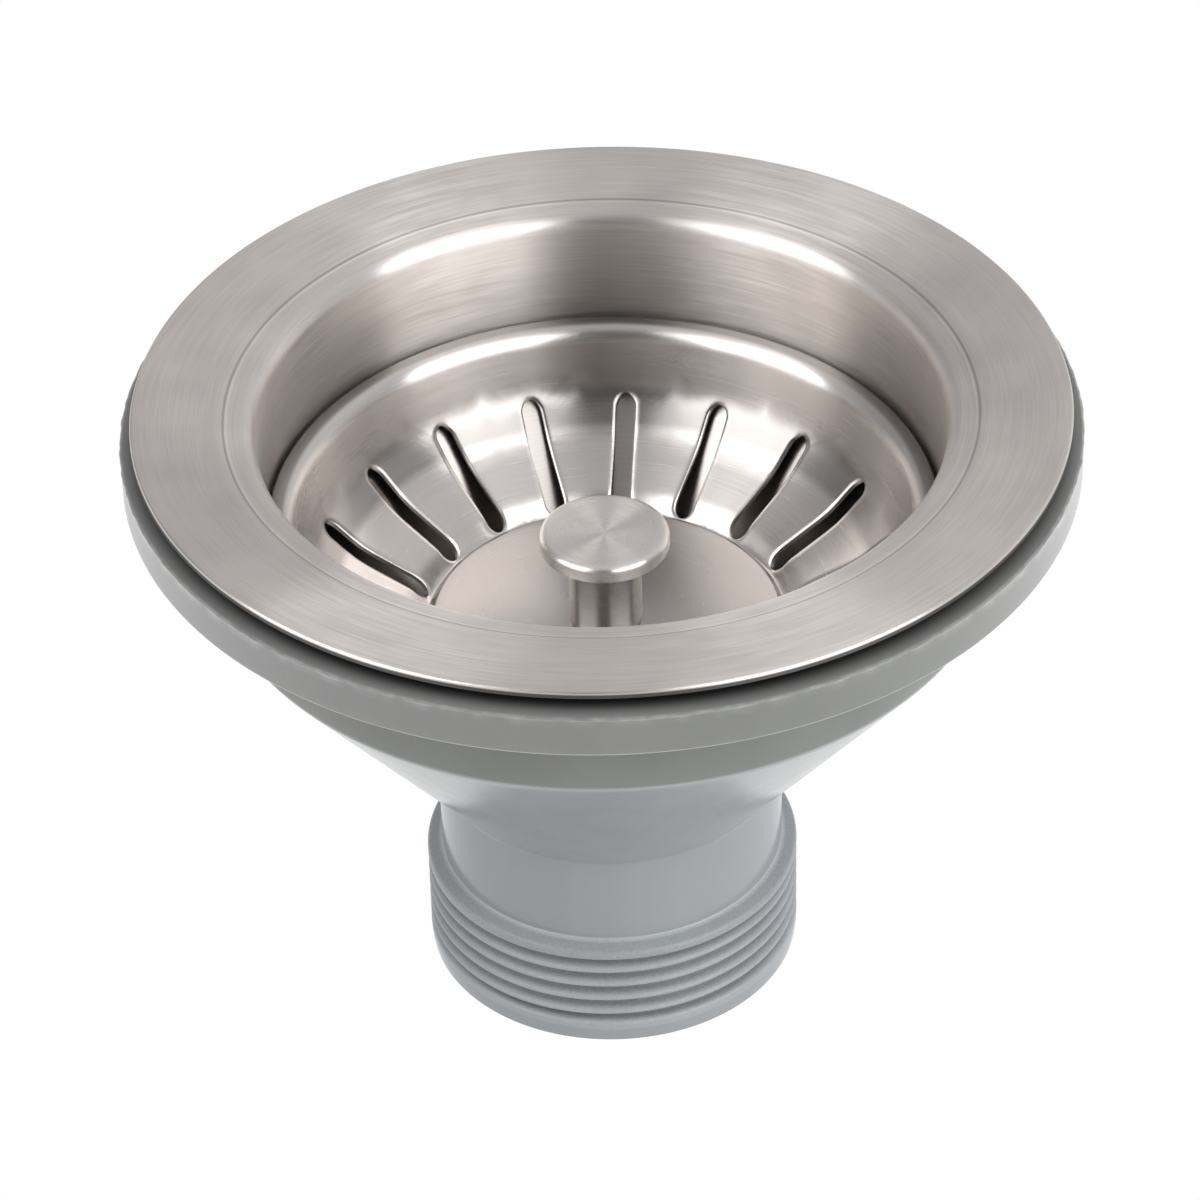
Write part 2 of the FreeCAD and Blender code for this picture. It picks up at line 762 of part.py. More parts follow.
def make_insert_nut():
    """Brass hexagon nut that fills the trap below the boss."""
    nut = doc.addObject("PartDesign::Body", "insert_nut")
    nut.Label = "insert_nut"
    plan = attached_sketch(nut, "nut_plan", "XY_Plane", height=down(BOSS_FOOT))
    draw_hexagon(plan, NUT_FLATS)
    pad = nut.newObject("PartDesign::Pad", "nut_block")
    pad.Profile = plan
    pad.setExpression("Length", bound("nut_height"))
    doc.recompute()
    bore = attached_sketch(nut, "nut_bore_plan", "XY_Plane", height=down(BOSS_FOOT))
    draw_circle(bore, "screw_radius")
    cut(nut, bore, "nut_bore", "nut_height", upwards=True)
    return nut


def make_basket():
    """Rim, wall, sloping side, gutter and raised floor from one sheet, with radial slots."""
    mouth = f"{BASKET_EDGE} - basket_rim_width"
    shoulder = f"{mouth} - basket_wall_taper"
    slope = share_of("waist_share", f"{shoulder} {minus(GUTTER_OUTSIDE)}")
    gutter = down(f"{BASKET_FLOOR} + gutter_drop")
    floor = down(BASKET_FLOOR)
    basket = pressed(
        "basket",
        [
            (BASKET_EDGE, down(f"{BASKET_RIM} + basket_rim_fall"), None),
            (BASKET_EDGE, down(BASKET_RIM), "basket_rim_bend"),
            (mouth, down(f"{BASKET_RIM} + basket_rim_dip"), "basket_mouth_bend"),
            (shoulder, down(SHOULDER), "shoulder_bend"),
            (f"{GUTTER_OUTSIDE} + {slope}", down(WAIST), "waist_bend"),
            (f"{GUTTER_OUTSIDE} + knuckle_width", down(KNUCKLE), "knuckle_bend"),
            (GUTTER_OUTSIDE, gutter, "gutter_bend"),
            (GUTTER_INSIDE, gutter, "gutter_bend"),
            (f"{GUTTER_INSIDE} - floor_edge_slope", floor, "floor_edge_bend"),
            (STUD_HOLE, floor, None),
        ],
        "basket_sheet",
    )
    slot = attached_sketch(
        basket, "slot_plan", "XY_Plane", height="total_height", turn="slot_turn"
    )
    draw_radial_slot(
        slot,
        f"{GUTTER_OUTSIDE} + slot_inset",
        f"{shoulder} - slot_margin",
        "slot_half_width",
    )
    slots = cut(basket, slot, "slots")
    repeat_round(basket, slots, slot, "slots", "slot_count")
    return basket


def make_knob():
    """Mushroom knob: rounded rim, shallow dish on top and a socket for the stem's stud."""
    top = down(KNOB_TOP)
    foot = down(KNOB_FOOT)
    return turned(
        "knob",
        [
            (None, f"{top} - knob_dish_depth", None),
            ("knob_radius - knob_rim_width", top, None),
            ("knob_radius", top, "knob_top_edge"),
            ("knob_radius", foot, "knob_foot_edge"),
            (KNOB_STUD, foot, None),
            (KNOB_STUD, down(KNOB_SOCKET), None),
            (None, down(KNOB_SOCKET), None),
        ],
    )


def make_basket_stem():
    """Stem that stands on the basket floor, a stud into the knob and one through the floor."""
    return turned(
        "basket_stem",
        [
            (None, down(STUD_END), None),
            ("stud_radius", down(STUD_END), "stem_edge"),
            ("stud_radius", down(BASKET_FLOOR), None),
            (STEM_OUTSIDE, down(BASKET_FLOOR), "stem_edge"),
            (STEM_OUTSIDE, down(KNOB_FOOT), "stem_edge"),
            (KNOB_STUD, down(KNOB_FOOT), None),
            (KNOB_STUD, down(KNOB_SOCKET), None),
            (None, down(KNOB_SOCKET), None),
        ],
    )


def make_stopper():
    """Rubber stopper below the basket floor, with a flared lip that meets the seat."""
    top = down(STOPPER_TOP)
    web_foot = down(RETAINER_TOP)
    lip_foot = down("seat_depth - seat_clearance")
    outside = f"{GUTTER_INSIDE} - floor_edge_slope - basket_sheet - stopper_play"
    lip_outside = "seat_radius - stopper_lip_margin"
    lip_inside = f"{lip_outside} - stopper_lip_width"
    return turned(
        "stopper",
        [
            (STUD_HOLE, top, None),
            (STUD_HOLE, web_foot, None),
            (f"{lip_inside} - stopper_lip_slope", web_foot, None),
            (lip_inside, lip_foot, None),
            (lip_outside, lip_foot, None),
            (lip_outside, f"{lip_foot} + stopper_lip_height", None),
            (outside, f"{top} - stopper_side_height", None),
            (outside, top, None),
        ],
    )


def make_stopper_retainer():
    """Steel disc that holds the stopper up against the basket floor."""
    outside = "stud_radius + retainer_overhang"
    return turned(
        "stopper_retainer",
        [
            (STUD_HOLE, down(SPIGOT_TOP), None),
            (outside, down(SPIGOT_TOP), None),
            (outside, down(RETAINER_TOP), "washer_edge"),
            (STUD_HOLE, down(RETAINER_TOP), None),
        ],
    )


def make_locating_spigot():
    """Hexagon nut on the stem's stud, with a grooved pin below that guides the basket."""
    tip = down(f"{HEAD_TOP} + spigot_length")
    hexagon_foot = down(f"{HEAD_TOP} - spigot_head_clearance")
    groove = "spigot_radius - ring_groove_depth"
    groove_foot = down(f"{HEAD_TOP} + ring_drop + ring_groove_half")
    groove_top = down(f"{HEAD_TOP} + ring_drop - ring_groove_half")
    spigot = turned(
        "locating_spigot",
        [
            (None, tip, None),
            ("spigot_radius - spigot_tip_chamfer", tip, None),
            ("spigot_radius", f"{tip} + spigot_tip_chamfer", None),
            ("spigot_radius", groove_foot, None),
            (groove, groove_foot, None),
            (groove, groove_top, None),
            ("spigot_radius", groove_top, None),
            ("spigot_radius", hexagon_foot, None),
            (None, hexagon_foot, None),
        ],
    )
    doc.recompute()
    plan = attached_sketch(spigot, "spigot_hexagon_plan", "XY_Plane", height=hexagon_foot)
    draw_hexagon(plan, "stud_radius + spigot_wall")
    pad = spigot.newObject("PartDesign::Pad", "spigot_hexagon")
    pad.Profile = plan
    pad.setExpression(
        "Length", bound(f"{HEAD_TOP} - spigot_head_clearance {minus(SPIGOT_TOP)}")
    )
    spigot.Tip = pad
    doc.recompute()
    hole = attached_sketch(
        spigot, "stud_hole_plan", "XY_Plane", height=down(SPIGOT_TOP)
    )
    draw_circle(hole, "stud_radius")
    cut(
        spigot,
        hole,
        "stud_hole",
        "stud_grip + stud_end_clearance",
    )
    return spigot


def make_spigot_ring():
    """Small rubber ring in the groove of the spigot."""
    ring = doc.addObject("Part::Torus", "spigot_ring")
    ring.Label = "spigot_ring"
    ring.setExpression("Radius1", bound("spigot_radius - ring_groove_depth + ring_section"))
    ring.setExpression("Radius2", bound("ring_section"))
    ring.setExpression("Placement.Base.z", bound(down(f"{HEAD_TOP} + ring_drop")))
    return ring


def export(pieces):
    """Checks the whole document, then writes each piece to a file named by its label."""
    doc.recompute()
    for item in doc.Objects:
        faults = [state for state in item.State if state in ("Invalid", "Error")]
        if faults:
            raise RuntimeError(f"{item.Name} is {faults[0]}")
    for piece in pieces:
        if piece.Shape.isNull() or not piece.Shape.isValid():
            raise RuntimeError(f"{piece.Label} has no valid shape")
    os.makedirs("parts", exist_ok=True)
    for piece in pieces:
        piece.Shape.exportStep(f"parts/{piece.Label}.step")


def main():
    """Makes every piece of the waste and writes it."""
    pieces = [
        make_strainer_bowl(),
        make_flange_seal(),
        make_sink_gasket(),
        make_waste_body(),
        make_clamp_screw(),
        make_washer(),
        make_insert_nut(),
        make_basket(),
        make_basket_stem(),
        make_knob(),
        make_stopper(),
        make_stopper_retainer(),
        make_locating_spigot(),
        make_spigot_ring(),
    ]
    export(pieces)


main()
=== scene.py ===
"""Looks of a basket strainer waste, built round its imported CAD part.

Every visible piece is a surface worked out with numpy. Lengths in the tables are in millimetres,
and heights there are depths below the top of the flange, as on a drawing of the waste.
"""

import math
from types import SimpleNamespace

import bmesh
import bpy
import numpy as np
from mathutils import Matrix, Vector


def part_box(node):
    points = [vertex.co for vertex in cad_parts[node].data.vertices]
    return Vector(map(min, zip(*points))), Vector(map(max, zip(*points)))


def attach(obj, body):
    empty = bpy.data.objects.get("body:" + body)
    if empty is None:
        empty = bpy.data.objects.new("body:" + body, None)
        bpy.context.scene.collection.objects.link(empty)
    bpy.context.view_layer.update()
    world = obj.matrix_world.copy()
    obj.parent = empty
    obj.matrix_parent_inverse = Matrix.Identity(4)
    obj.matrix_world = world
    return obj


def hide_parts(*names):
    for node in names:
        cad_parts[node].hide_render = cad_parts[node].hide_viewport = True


bl_info = {
    "name": "Basket strainer waste",
    "version": (1, 0, 0),
    "blender": (4, 5, 0),
    "location": "View3D > Sidebar > Waste",
    "description": "Builds a steel and plastic basket strainer waste and the studio it is seen in",
    "category": "Object",
}

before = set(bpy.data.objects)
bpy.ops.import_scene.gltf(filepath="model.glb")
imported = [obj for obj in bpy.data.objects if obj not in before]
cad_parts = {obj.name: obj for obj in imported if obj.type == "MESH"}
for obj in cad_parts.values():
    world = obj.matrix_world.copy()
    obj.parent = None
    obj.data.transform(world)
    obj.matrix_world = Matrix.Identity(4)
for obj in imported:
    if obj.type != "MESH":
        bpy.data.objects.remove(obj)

MM = 0.001
FULL_TURN = 2.0 * math.pi
HEX_SIDES = 6
MERGE_DISTANCE = 2e-6
ARC_STEP = math.radians(9.0)
RUN_STEP = 1.3


def reach(node):
    """Lowest level, highest level and outer radius of a CAD node in millimetres."""
    low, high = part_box(node)
    return low.z / MM, high.z / MM, high.x / MM


_, WASTE_TOP, FLANGE_RADIUS = reach("strainer_bowl")
KNOB_FOOT, KNOB_TOP, KNOB_RADIUS = reach("knob")
BASKET_RADIUS = reach("basket")[2]
GASKET_RADIUS = reach("sink_gasket")[2]
BODY_RADIUS = reach("waste_body")[2]

# Depths below the flange's top
GASKET_TOP, GASKET_FOOT = 2.75, 8.2
BASKET_FLOOR = 33.0
CONE_TOP, CONE_FOOT = 21.7, 55.4

# Radii of the holes for the basket's stud and for the screw
STUD_HOLE = 3.15
SCREW_HOLE = 5.4

# Heights above the outlet's end
THREAD_LOW, THREAD_HIGH, COLLAR_TOP = 1.6, 13.9, 15.6
BOSS_FOOT, BOSS_TOP, NUT_TOP = 18.4, 32.9, 26.4

# How far the layers about a hole stand from its edge, as shares of the way to the sector's edge
HOLE_LAYERS = np.array([0.0, 0.018, 0.045, 0.09, 0.16, 0.28, 0.45, 0.7, 1.0])[:, None]

# Patches of the room: azimuth, elevation, outer and inner angle in degrees, and what they add
ROOM_PATCHES = (
    (-88.0, 35.0, 36.0, 18.0, -0.46),
    (132.0, 26.0, 38.0, 16.0, -0.26),
    (48.0, 30.0, 40.0, 15.0, 0.12),
)
FLOOR_GLOW = 0.34

# The photograph's camera: focal length and picture in pixels, and where the flange's centre is
FOCAL, PICTURE, SEEN_AT = 5262.144, 1200.0, (600.897, 399.761)


def length(name, description, millimetres):
    """A size in metres that a user may change, given here in millimetres."""
    return bpy.props.FloatProperty(
        name=name, description=description, default=millimetres * MM, min=0.0, precision=5,
        unit="LENGTH", subtype="DISTANCE",
    )


def angle(name, description, degrees):
    """A turn that a user may change, given here in degrees."""
    return bpy.props.FloatProperty(
        name=name, description=description, default=math.radians(degrees), unit="ROTATION",
        subtype="ANGLE",
    )


def amount(name, description, value, highest=1.0):
    """A plain number from nothing to its highest value."""
    return bpy.props.FloatProperty(
        name=name, description=description, default=value, min=0.0, max=highest
    )


def colour(name, description, value):
    """A linear colour that a user may change."""
    return bpy.props.FloatVectorProperty(
        name=name, description=description, default=value, size=3, min=0.0, max=1.0,
        subtype="COLOR",
    )


def count(name, description, value):
    """A whole number of equal features round the axis."""
    return bpy.props.IntProperty(name=name, description=description, default=value, min=3)


class BowlSizes(bpy.types.PropertyGroup):
    """Sizes of the pressed steel flange and bowl."""

    flange_radius: length("Flange radius", "Outer radius of the flange", FLANGE_RADIUS)
    flange_edge: length("Flange edge", "Bend radius of the flange's outer edge", 0.3)
    lip_bend: length("Lip bend", "Bend radius where the flange turns into the bowl", 2.0)
    sheet: length("Sheet", "Thickness of the bowl's sheet", 0.8)
    windows: count("Windows", "Number of drain windows in the sump floor", 6)
    window_inner: length("Window inner radius", "Inner radius of the drain windows", 10.6)
    window_outer: length("Window outer radius", "Outer radius of the drain windows", 15.0)
    spoke_half: length("Spoke half width", "Half the width of a spoke", 1.5)


class BasketSizes(bpy.types.PropertyGroup):
    """Sizes of the pressed steel basket."""

    rim_radius: length("Rim radius", "Outer radius of the basket's rim", BASKET_RADIUS)
    rim_bend: length("Rim bend", "Bend radius of the rolled rim", 0.9)
    sheet: length("Sheet", "Thickness of the basket's sheet", 0.7)
    slots: count("Slots", "Number of slots round the side", 18)
    slot_start: angle("Slot start", "Turn of the first slot about the axis", 4.8)
    slot_inner: length("Slot inner end", "Radius at which a slot starts", 23.2)
    slot_outer: length("Slot outer end", "Radius at which a slot ends", 36.3)
    slot_half: length("Slot half width", "Half the width of a slot", 1.25)
    edge_roll: length("Edge roll", "How far the sheet sinks at a slot's edge", 0.14)


class KnobSizes(bpy.types.PropertyGroup):
    """Sizes of the knob and of the stem below it."""

    knob_radius: length("Knob radius", "Outer radius of the knob", KNOB_RADIUS)
    knob_edge: length("Knob edge", "Bend radius of the knob's upper edge", 0.8)
    dish_radius: length("Dish radius", "Radius of the shallow dish on top", 6.9)
    dish_depth: length("Dish depth", "Depth of the dish at the axis", 0.25)
    stem_radius: length("Stem radius", "Radius of the stem", 4.6)


class SealSizes(bpy.types.PropertyGroup):
    """Sizes of the rubber pieces."""

    gasket_radius: length("Gasket radius", "Outer radius of the thick ring", GASKET_RADIUS)
    gasket_edge: length("Gasket edge", "Bend radius of the thick ring's edges", 0.35)
    flash_reach: length("Flash reach", "How far moulding flash stands out of the ring", 0.16)
    seal_inner: length("Seal inner radius", "Inner radius of the thin seal", 47.0)
    seal_outer: length("Seal outer radius", "Outer radius of the thin seal", 54.5)
    stopper_radius: length("Stopper radius", "Outer radius of the stopper's lip", 22.0)


class BodySizes(bpy.types.PropertyGroup):
    """Sizes of the grey plastic body."""

    rim_radius: length("Rim radius", "Outer radius of the hidden clamping rim", BODY_RADIUS)
    band_radius: length("Band radius", "Outer radius of the band above the cone", 48.5)
    neck_radius: length("Neck radius", "Outer radius of the neck", 22.0)
    bore_radius: length("Bore radius", "Inner radius of the outlet", 19.3)
    thread_radius: length("Thread radius", "Radius of the thread's crest", 23.9)
    thread_pitch: length("Thread pitch", "Rise of the thread in one turn", 2.309)
    thread_depth: length("Thread depth", "Depth of the thread's groove", 1.3)


class FixingSizes(bpy.types.PropertyGroup):
    """Sizes of the small metal pieces."""

    washer_radius: length("Washer radius", "Outer radius of the washer", 9.8)
    nut_flats: length("Nut half width", "Half the width of the nut across flats", 8.0)
    nut_bore: length("Nut bore", "Radius of the hole in the nut", 5.0)
    retainer_radius: length("Retainer radius", "Radius of the disc below the stopper", 8.6)


class Finishes(bpy.types.PropertyGroup):
    """Colours and finishes of the materials."""

    bowl_colour: colour("Bowl steel", "Colour of the brushed steel", (0.76, 0.711, 0.68))
    basket_colour: colour("Basket steel", "Colour of the basket's steel", (0.65, 0.616, 0.596))
    knob_colour: colour("Knob steel", "Colour of the knob's steel", (0.83, 0.786, 0.757))
    stem_colour: colour("Stem steel", "Colour of the stem's steel", (0.47, 0.445, 0.43))
    fixing_colour: colour("Fixing steel", "Colour of the screw and washers", (0.5, 0.49, 0.48))
    brass_colour: colour("Brass", "Colour of the nut", (0.6, 0.44, 0.2))
    plastic_colour: colour("Plastic", "Colour of the moulded body", (0.222, 0.236, 0.243))
    gasket_colour: colour("Gasket", "Colour of the thick ring", (0.115, 0.12, 0.114))
    band_colour: colour("Band", "Colour of the band above the cone", (0.135, 0.141, 0.133))
    seal_colour: colour("Seal", "Colour of the thin seal", (0.02, 0.018, 0.016))
    stopper_colour: colour("Stopper", "Colour of the stopper", (0.025, 0.025, 0.025))
    bowl_roughness: amount("Bowl roughness", "Roughness of the brushed steel", 0.34)
    basket_roughness: amount("Basket roughness", "Roughness of the basket", 0.26)


class StageSettings(bpy.types.PropertyGroup):
    """Floor, lamps and camera."""

    floor_radius: length("Floor radius", "Radius of the floor", 4000.0)
    camera_distance: length("Camera distance", "Camera to the flange's centre", 641.088)
    camera_elevation: angle("Camera elevation", "Camera's height above the horizon", 35.21164)
    camera_roll: angle("Camera roll", "Turn of the camera about its own axis", -1.47561)
    key_strength: amount("Key strength", "Brightness of the lamp on the right", 3.4, 20.0)
    fill_strength: amount("Fill strength", "Brightness of the lamp on the left", 2.8, 20.0)
    side_strength: amount("Side strength", "Brightness of the low lamp on the right", 9.0, 40.0)
    room_strength: amount("Room strength", "Brightness of the room all round", 0.6, 20.0)


def sizes(group):
    """The values of a property group by name, with its lengths in millimetres."""
    found = {}
    for key, prop in group.bl_rna.properties.items():
        if key in ("rna_type", "name"):
            continue
        value = getattr(group, key)
        found[key] = value / MM if getattr(prop, "unit", "") == "LENGTH" else value
    return SimpleNamespace(**found)


def heights(*table):
    """Rows of radius, depth below the flange's top and bend, as radius, height and bend."""
    rows = np.array(table, float)
    rows[:, 1] = WASTE_TOP - rows[:, 1]
    return rows


def unit(vectors):
    """The same directions at length one. A vector of no length stays as it is."""
    size = np.linalg.norm(vectors, axis=-1, keepdims=True)
    return vectors / np.where(size < 1e-9, 1.0, size)


def corner_arcs(corners):
    """Where the arc of each corner starts and ends, its centre and its turn.

    A bend touches both runs of its corner: it starts at bend / tan(half the angle between the
    runs) from the corner, and its centre is bend / sin(half that angle) along their bisector.
    """
    points, bends = corners[:, :2], corners[:, 2]
    back = unit(points[:-2] - points[1:-1])
    ahead = unit(points[2:] - points[1:-1])
    half = 0.5 * np.arccos(np.clip(np.sum(back * ahead, axis=1), -1.0, 1.0))
    away = (bends[1:-1] / np.tan(half))[:, None]
    starts, ends, centres = points.copy(), points.copy(), points.copy()
    starts[1:-1] += back * away
    ends[1:-1] += ahead * away
    centres[1:-1] += unit(back + ahead) * (bends[1:-1] / np.sin(half))[:, None]
    turns = np.zeros(len(corners))
    turns[1:-1] = np.where(bends[1:-1] > 0.0, math.pi - 2.0 * half, 0.0)
    return starts, ends, centres, turns


def bent_line(corners, guide=None):
    """Points of a line of straight runs joined by arcs, one point after the other.

    A corner is a radius, a height and a bend. An arc's points stand at equal turns about its
    centre and a run's at equal steps. A second line with the same guide gets as many points.
    """
    corners = np.asarray(corners, float)
    guide = corners if guide is None else guide
    starts, ends, centres, _ = corner_arcs(corners)
    guide_starts, guide_ends, _, guide_turns = corner_arcs(guide)
    points = []
    for place in range(len(corners)):
        steps = math.ceil(guide_turns[place] / ARC_STEP)
        if steps:
            first = starts[place] - centres[place]
            last = ends[place] - centres[place]
            crossed = first[0] * last[1] - first[1] * last[0]
            opening = math.atan2(crossed, float(np.dot(first, last)))
            turn = math.atan2(first[1], first[0]) + opening * np.linspace(0.0, 1.0, steps + 1)
            bend = math.hypot(*first)
            points.append(centres[place] + bend * np.stack([np.cos(turn), np.sin(turn)], 1))
        else:
            points.append(ends[place][None])
        if place + 1 < len(corners):
            run = np.linalg.norm(guide_starts[place + 1] - guide_ends[place])
            pieces = max(1, math.ceil(run / RUN_STEP))
            share = np.linspace(0.0, 1.0, pieces + 1)[1:-1, None]
            points.append(ends[place] * (1.0 - share) + starts[place + 1] * share)
    return np.concatenate(points)


def sheet_lines(corners, thickness):
    """Upper and lower line of a sheet, point for point, from the corners of its upper line.

    The line runs from the rim inwards. A corner of the lower line is where the two runs, each
    moved down by the thickness, cross. Its bend is shorter or longer by that thickness.
    """
    runs = unit(np.diff(corners[:, :2], axis=0))
    normals = np.stack([runs[:, 1], -runs[:, 0]], 1)
    lower = corners.copy()
    shift = (normals[:-1] + normals[1:]) / (1.0 + np.sum(normals[:-1] * normals[1:], 1))[:, None]
    lower[0, :2] -= thickness * normals[0]
    lower[-1, :2] -= thickness * normals[-1]
    lower[1:-1, :2] -= thickness * shift
    side = np.sign(runs[:-1, 0] * runs[1:, 1] - runs[:-1, 1] * runs[1:, 0])
    bent = corners[1:-1, 2] > 0.0
    lower[1:-1, 2] = np.where(bent, np.maximum(corners[1:-1, 2] - thickness * side, 0.04), 0.0)
    return bent_line(corners), bent_line(lower, corners)


def along(line):
    """Length run along a line up to each of its points."""
    return np.concatenate([[0.0], np.cumsum(np.linalg.norm(np.diff(line, axis=0), axis=1))])


def length_at(line, radius):
    """Length along a line at which it reaches a radius, where its radius falls steadily."""
    return np.interp(radius, line[::-1, 0], along(line)[::-1])


def sampled(line, lengths, at):
    """Points of a line at the given lengths, straight between its own points."""
    return np.stack([np.interp(at, lengths, line[:, 0]), np.interp(at, lengths, line[:, 1])], -1)


def grid_faces(rows, columns, closed_rows=False, closed_columns=True):
    """Corner numbers of the quads of a grid whose points are numbered row by row."""
    row = np.arange(rows if closed_rows else rows - 1)[:, None]
    column = np.arange(columns if closed_columns else columns - 1)[None, :]
    next_row, next_column = (row + 1) % rows, (column + 1) % columns
    here, ahead = row * columns, next_row * columns
    corners = [here + column, here + next_column, ahead + next_column, ahead + column]
    return np.stack(corners, -1).reshape(-1, 4)


def around(radius, height, turn):
    """Points at a radius, a height and a turn: x is radius cos turn, y is radius sin turn."""
    radius, height, turn = np.broadcast_arrays(radius, height, turn)
    return np.stack([radius * np.cos(turn), radius * np.sin(turn), height], -1).reshape(-1, 3)


def turned(line, columns, closed=False, first=0.0, lift=None):
    """A line of radius and height carried once round the axis, as points and quads.

    lift gives the radius and height at each turn, where a piece isn't perfectly round.
    """
    turn = (first + FULL_TURN * np.arange(columns) / columns)[None, :]
    radius, height = line[:, 0][:, None], line[:, 1][:, None]
    if lift is not None:
        radius, height = lift(radius, height, turn)
    return around(radius, height, turn), grid_faces(len(line), columns, closed)


def hexagon(radius, turn):
    """Radius of a hexagon's side at a turn: half its width over cos of the turn from the flat."""
    sixth = FULL_TURN / HEX_SIDES
    return radius / np.cos(np.mod(turn, sixth) - 0.5 * sixth)


def holed_sheet(lines, span, holes, edge, roll):
    """A turned sheet with equal holes round it, as patches that meet edge to edge.

    The sheet's two lines are carried round the axis, apart from the span of lengths that holds
    the holes. There each hole has a sector, filled by layers that go from the hole's edge to the
    sector's edge: at share v a point is (1 - v) hole + v sector, in length along the line and in
    turn, and the lines give its radius and height. The upper side sinks towards a hole's edge by
    the roll's first number, over its second, and a wall joins the two sides there.
    """
    upper, lower = lines
    lengths = along(upper)
    number, start, width_steps, side_steps = holes
    sector = FULL_TURN / number
    patches = []
    for keep, extra in ((lengths < span[0], span[0]), (lengths > span[1], span[1])):
        at = np.sort(np.append(lengths[keep], extra))
        at = at[::-1] if extra == span[0] else at
        rows = np.concatenate([sampled(upper, lengths, at), sampled(lower, lengths, at)[::-1]])
        patches.append(turned(rows, number * width_steps, first=start - 0.5 * sector))

    hole_length, hole_turn = edge
    ends = np.linspace(0.5, -0.5, width_steps + 1)[:-1] * sector
    down = np.linspace(span[0], span[1], side_steps + 1)[:-1]
    up = np.linspace(span[1], span[0], side_steps + 1)[:-1]
    far, near = (np.full(width_steps, end) for end in span)
    left, right = (np.full(side_steps, half * sector) for half in (-0.5, 0.5))
    rim_length = np.concatenate([far, down, near, up])
    rim_turn = np.concatenate([ends, left, -ends, right])
    layer_length = (1.0 - HOLE_LAYERS) * hole_length + HOLE_LAYERS * rim_length
    layer_turn = (1.0 - HOLE_LAYERS) * hole_turn + HOLE_LAYERS * rim_turn
    top, bottom = (sampled(line, lengths, layer_length) for line in lines)
    apart = np.hypot(layer_length - hole_length, (layer_turn - hole_turn) * top[..., 0])
    sunk = roll[0] * np.clip(1.0 - apart / roll[1], 0.0, 1.0) ** 2
    top = top - unit(top - bottom) * sunk[..., None]
    wall = np.stack([top[0], bottom[0]])
    for sector_number in range(number):
        centre = start + sector * sector_number
        for side, turn in ((top, layer_turn), (bottom, layer_turn), (wall, hole_turn)):
            points = around(side[..., 0], side[..., 1], turn + centre)
            patches.append((points, grid_faces(len(side), len(hole_length))))
    return patches


def slot_edge(line, inner, outer, half, width_steps, side_steps):
    """Edge of a slot with round ends, as length along the line and turn about the axis.

    In plan its sides are straight and its ends half circles, and a point at x, y lies at radius
    sqrt(x x + y y) and turn atan2(y, x). It goes round the outer end, down one side, round the
    inner end and up the other side.
    """
    swing = np.linspace(0.0, math.pi, width_steps + 1)[:-1]
    round_end, across = half * np.sin(swing), half * np.cos(swing)
    run = np.linspace(outer - half, inner + half, side_steps + 1)[:-1]
    back = np.linspace(inner + half, outer - half, side_steps + 1)[:-1]
    x = np.concatenate([outer - half + round_end, run, inner + half - round_end, back])
    side = np.full(side_steps, half)
    y = np.concatenate([across, -side, -across, side])
    return length_at(line, np.hypot(x, y)), np.arctan2(y, x)


def window_edge(line, inner, outer, spoke_half, number, width_steps, side_steps):
    """Edge of a drain window, as length along the line and turn about the axis.

    Its ends are arcs about the axis, and its sides stand at half a spoke from the middle line of
    the spoke, so at a radius r the turn is half the sector less asin(half a spoke / r).
    """
    half_sector = math.pi / number
    reach_out = half_sector - math.asin(spoke_half / outer)
    reach_in = half_sector - math.asin(spoke_half / inner)
    run = np.linspace(outer, inner, side_steps + 1)[:-1]
    back = np.linspace(inner, outer, side_steps + 1)[:-1]
    radius = np.concatenate([np.full(width_steps, outer), run, np.full(width_steps, inner), back])
    turn = np.concatenate(
        [
            np.linspace(reach_out, -reach_out, width_steps + 1)[:-1],
            np.arcsin(spoke_half / run) - half_sector,
            np.linspace(-reach_in, reach_in, width_steps + 1)[:-1],
            half_sector - np.arcsin(spoke_half / back),
        ]
    )
    return length_at(line, radius), turn


def add_piece(name, patches, material, body=None, replaces=(), crease=40.0):
    """Makes one object of patches of points and quads, all in millimetres.

    Points that meet are merged, which also closes seams and poles, and the faces of the closed
    shell are turned outwards. Edges that turn by more than the crease angle stay sharp.
    """
    offsets = np.cumsum([0] + [len(points) for points, _ in patches])
    points = np.concatenate([points for points, _ in patches]) * MM
    faces = np.concatenate([quads + offset for (_, quads), offset in zip(patches, offsets)])
    mesh = bpy.data.meshes.new(name)
    mesh.from_pydata(points, [], faces)
    work = bmesh.new()
    work.from_mesh(mesh)
    bmesh.ops.remove_doubles(work, verts=work.verts, dist=MERGE_DISTANCE)
    bmesh.ops.recalc_face_normals(work, faces=work.faces)
    work.to_mesh(mesh)
    work.free()
    mesh.polygons.foreach_set("use_smooth", np.ones(len(mesh.polygons), bool))
    mesh.set_sharp_from_angle(angle=math.radians(crease))
    mesh.materials.append(material)
    mesh.update()
    piece = bpy.data.objects.new(name, mesh)
    bpy.context.scene.collection.objects.link(piece)
    if body is not None:
        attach(piece, body)
        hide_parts(*replaces)
    return piece


def add_ring(name, line, columns, material, body, node, lift=None):
    """Makes the piece of one CAD node from a closed line that is turned round the axis."""
    add_piece(name, [turned(line, columns, True, lift=lift)], material, body, [node])


def flat_ring(node, inner, outer, upper_bend, lower_bend):
    """Outline of a flat ring between the lowest and highest level of its CAD node."""
    low, high, _ = reach(node)
    upper = [(inner, high, 0.0), (outer, high, upper_bend)]
    return bent_line([*upper, (outer, low, lower_bend), (inner, low, 0.0)])


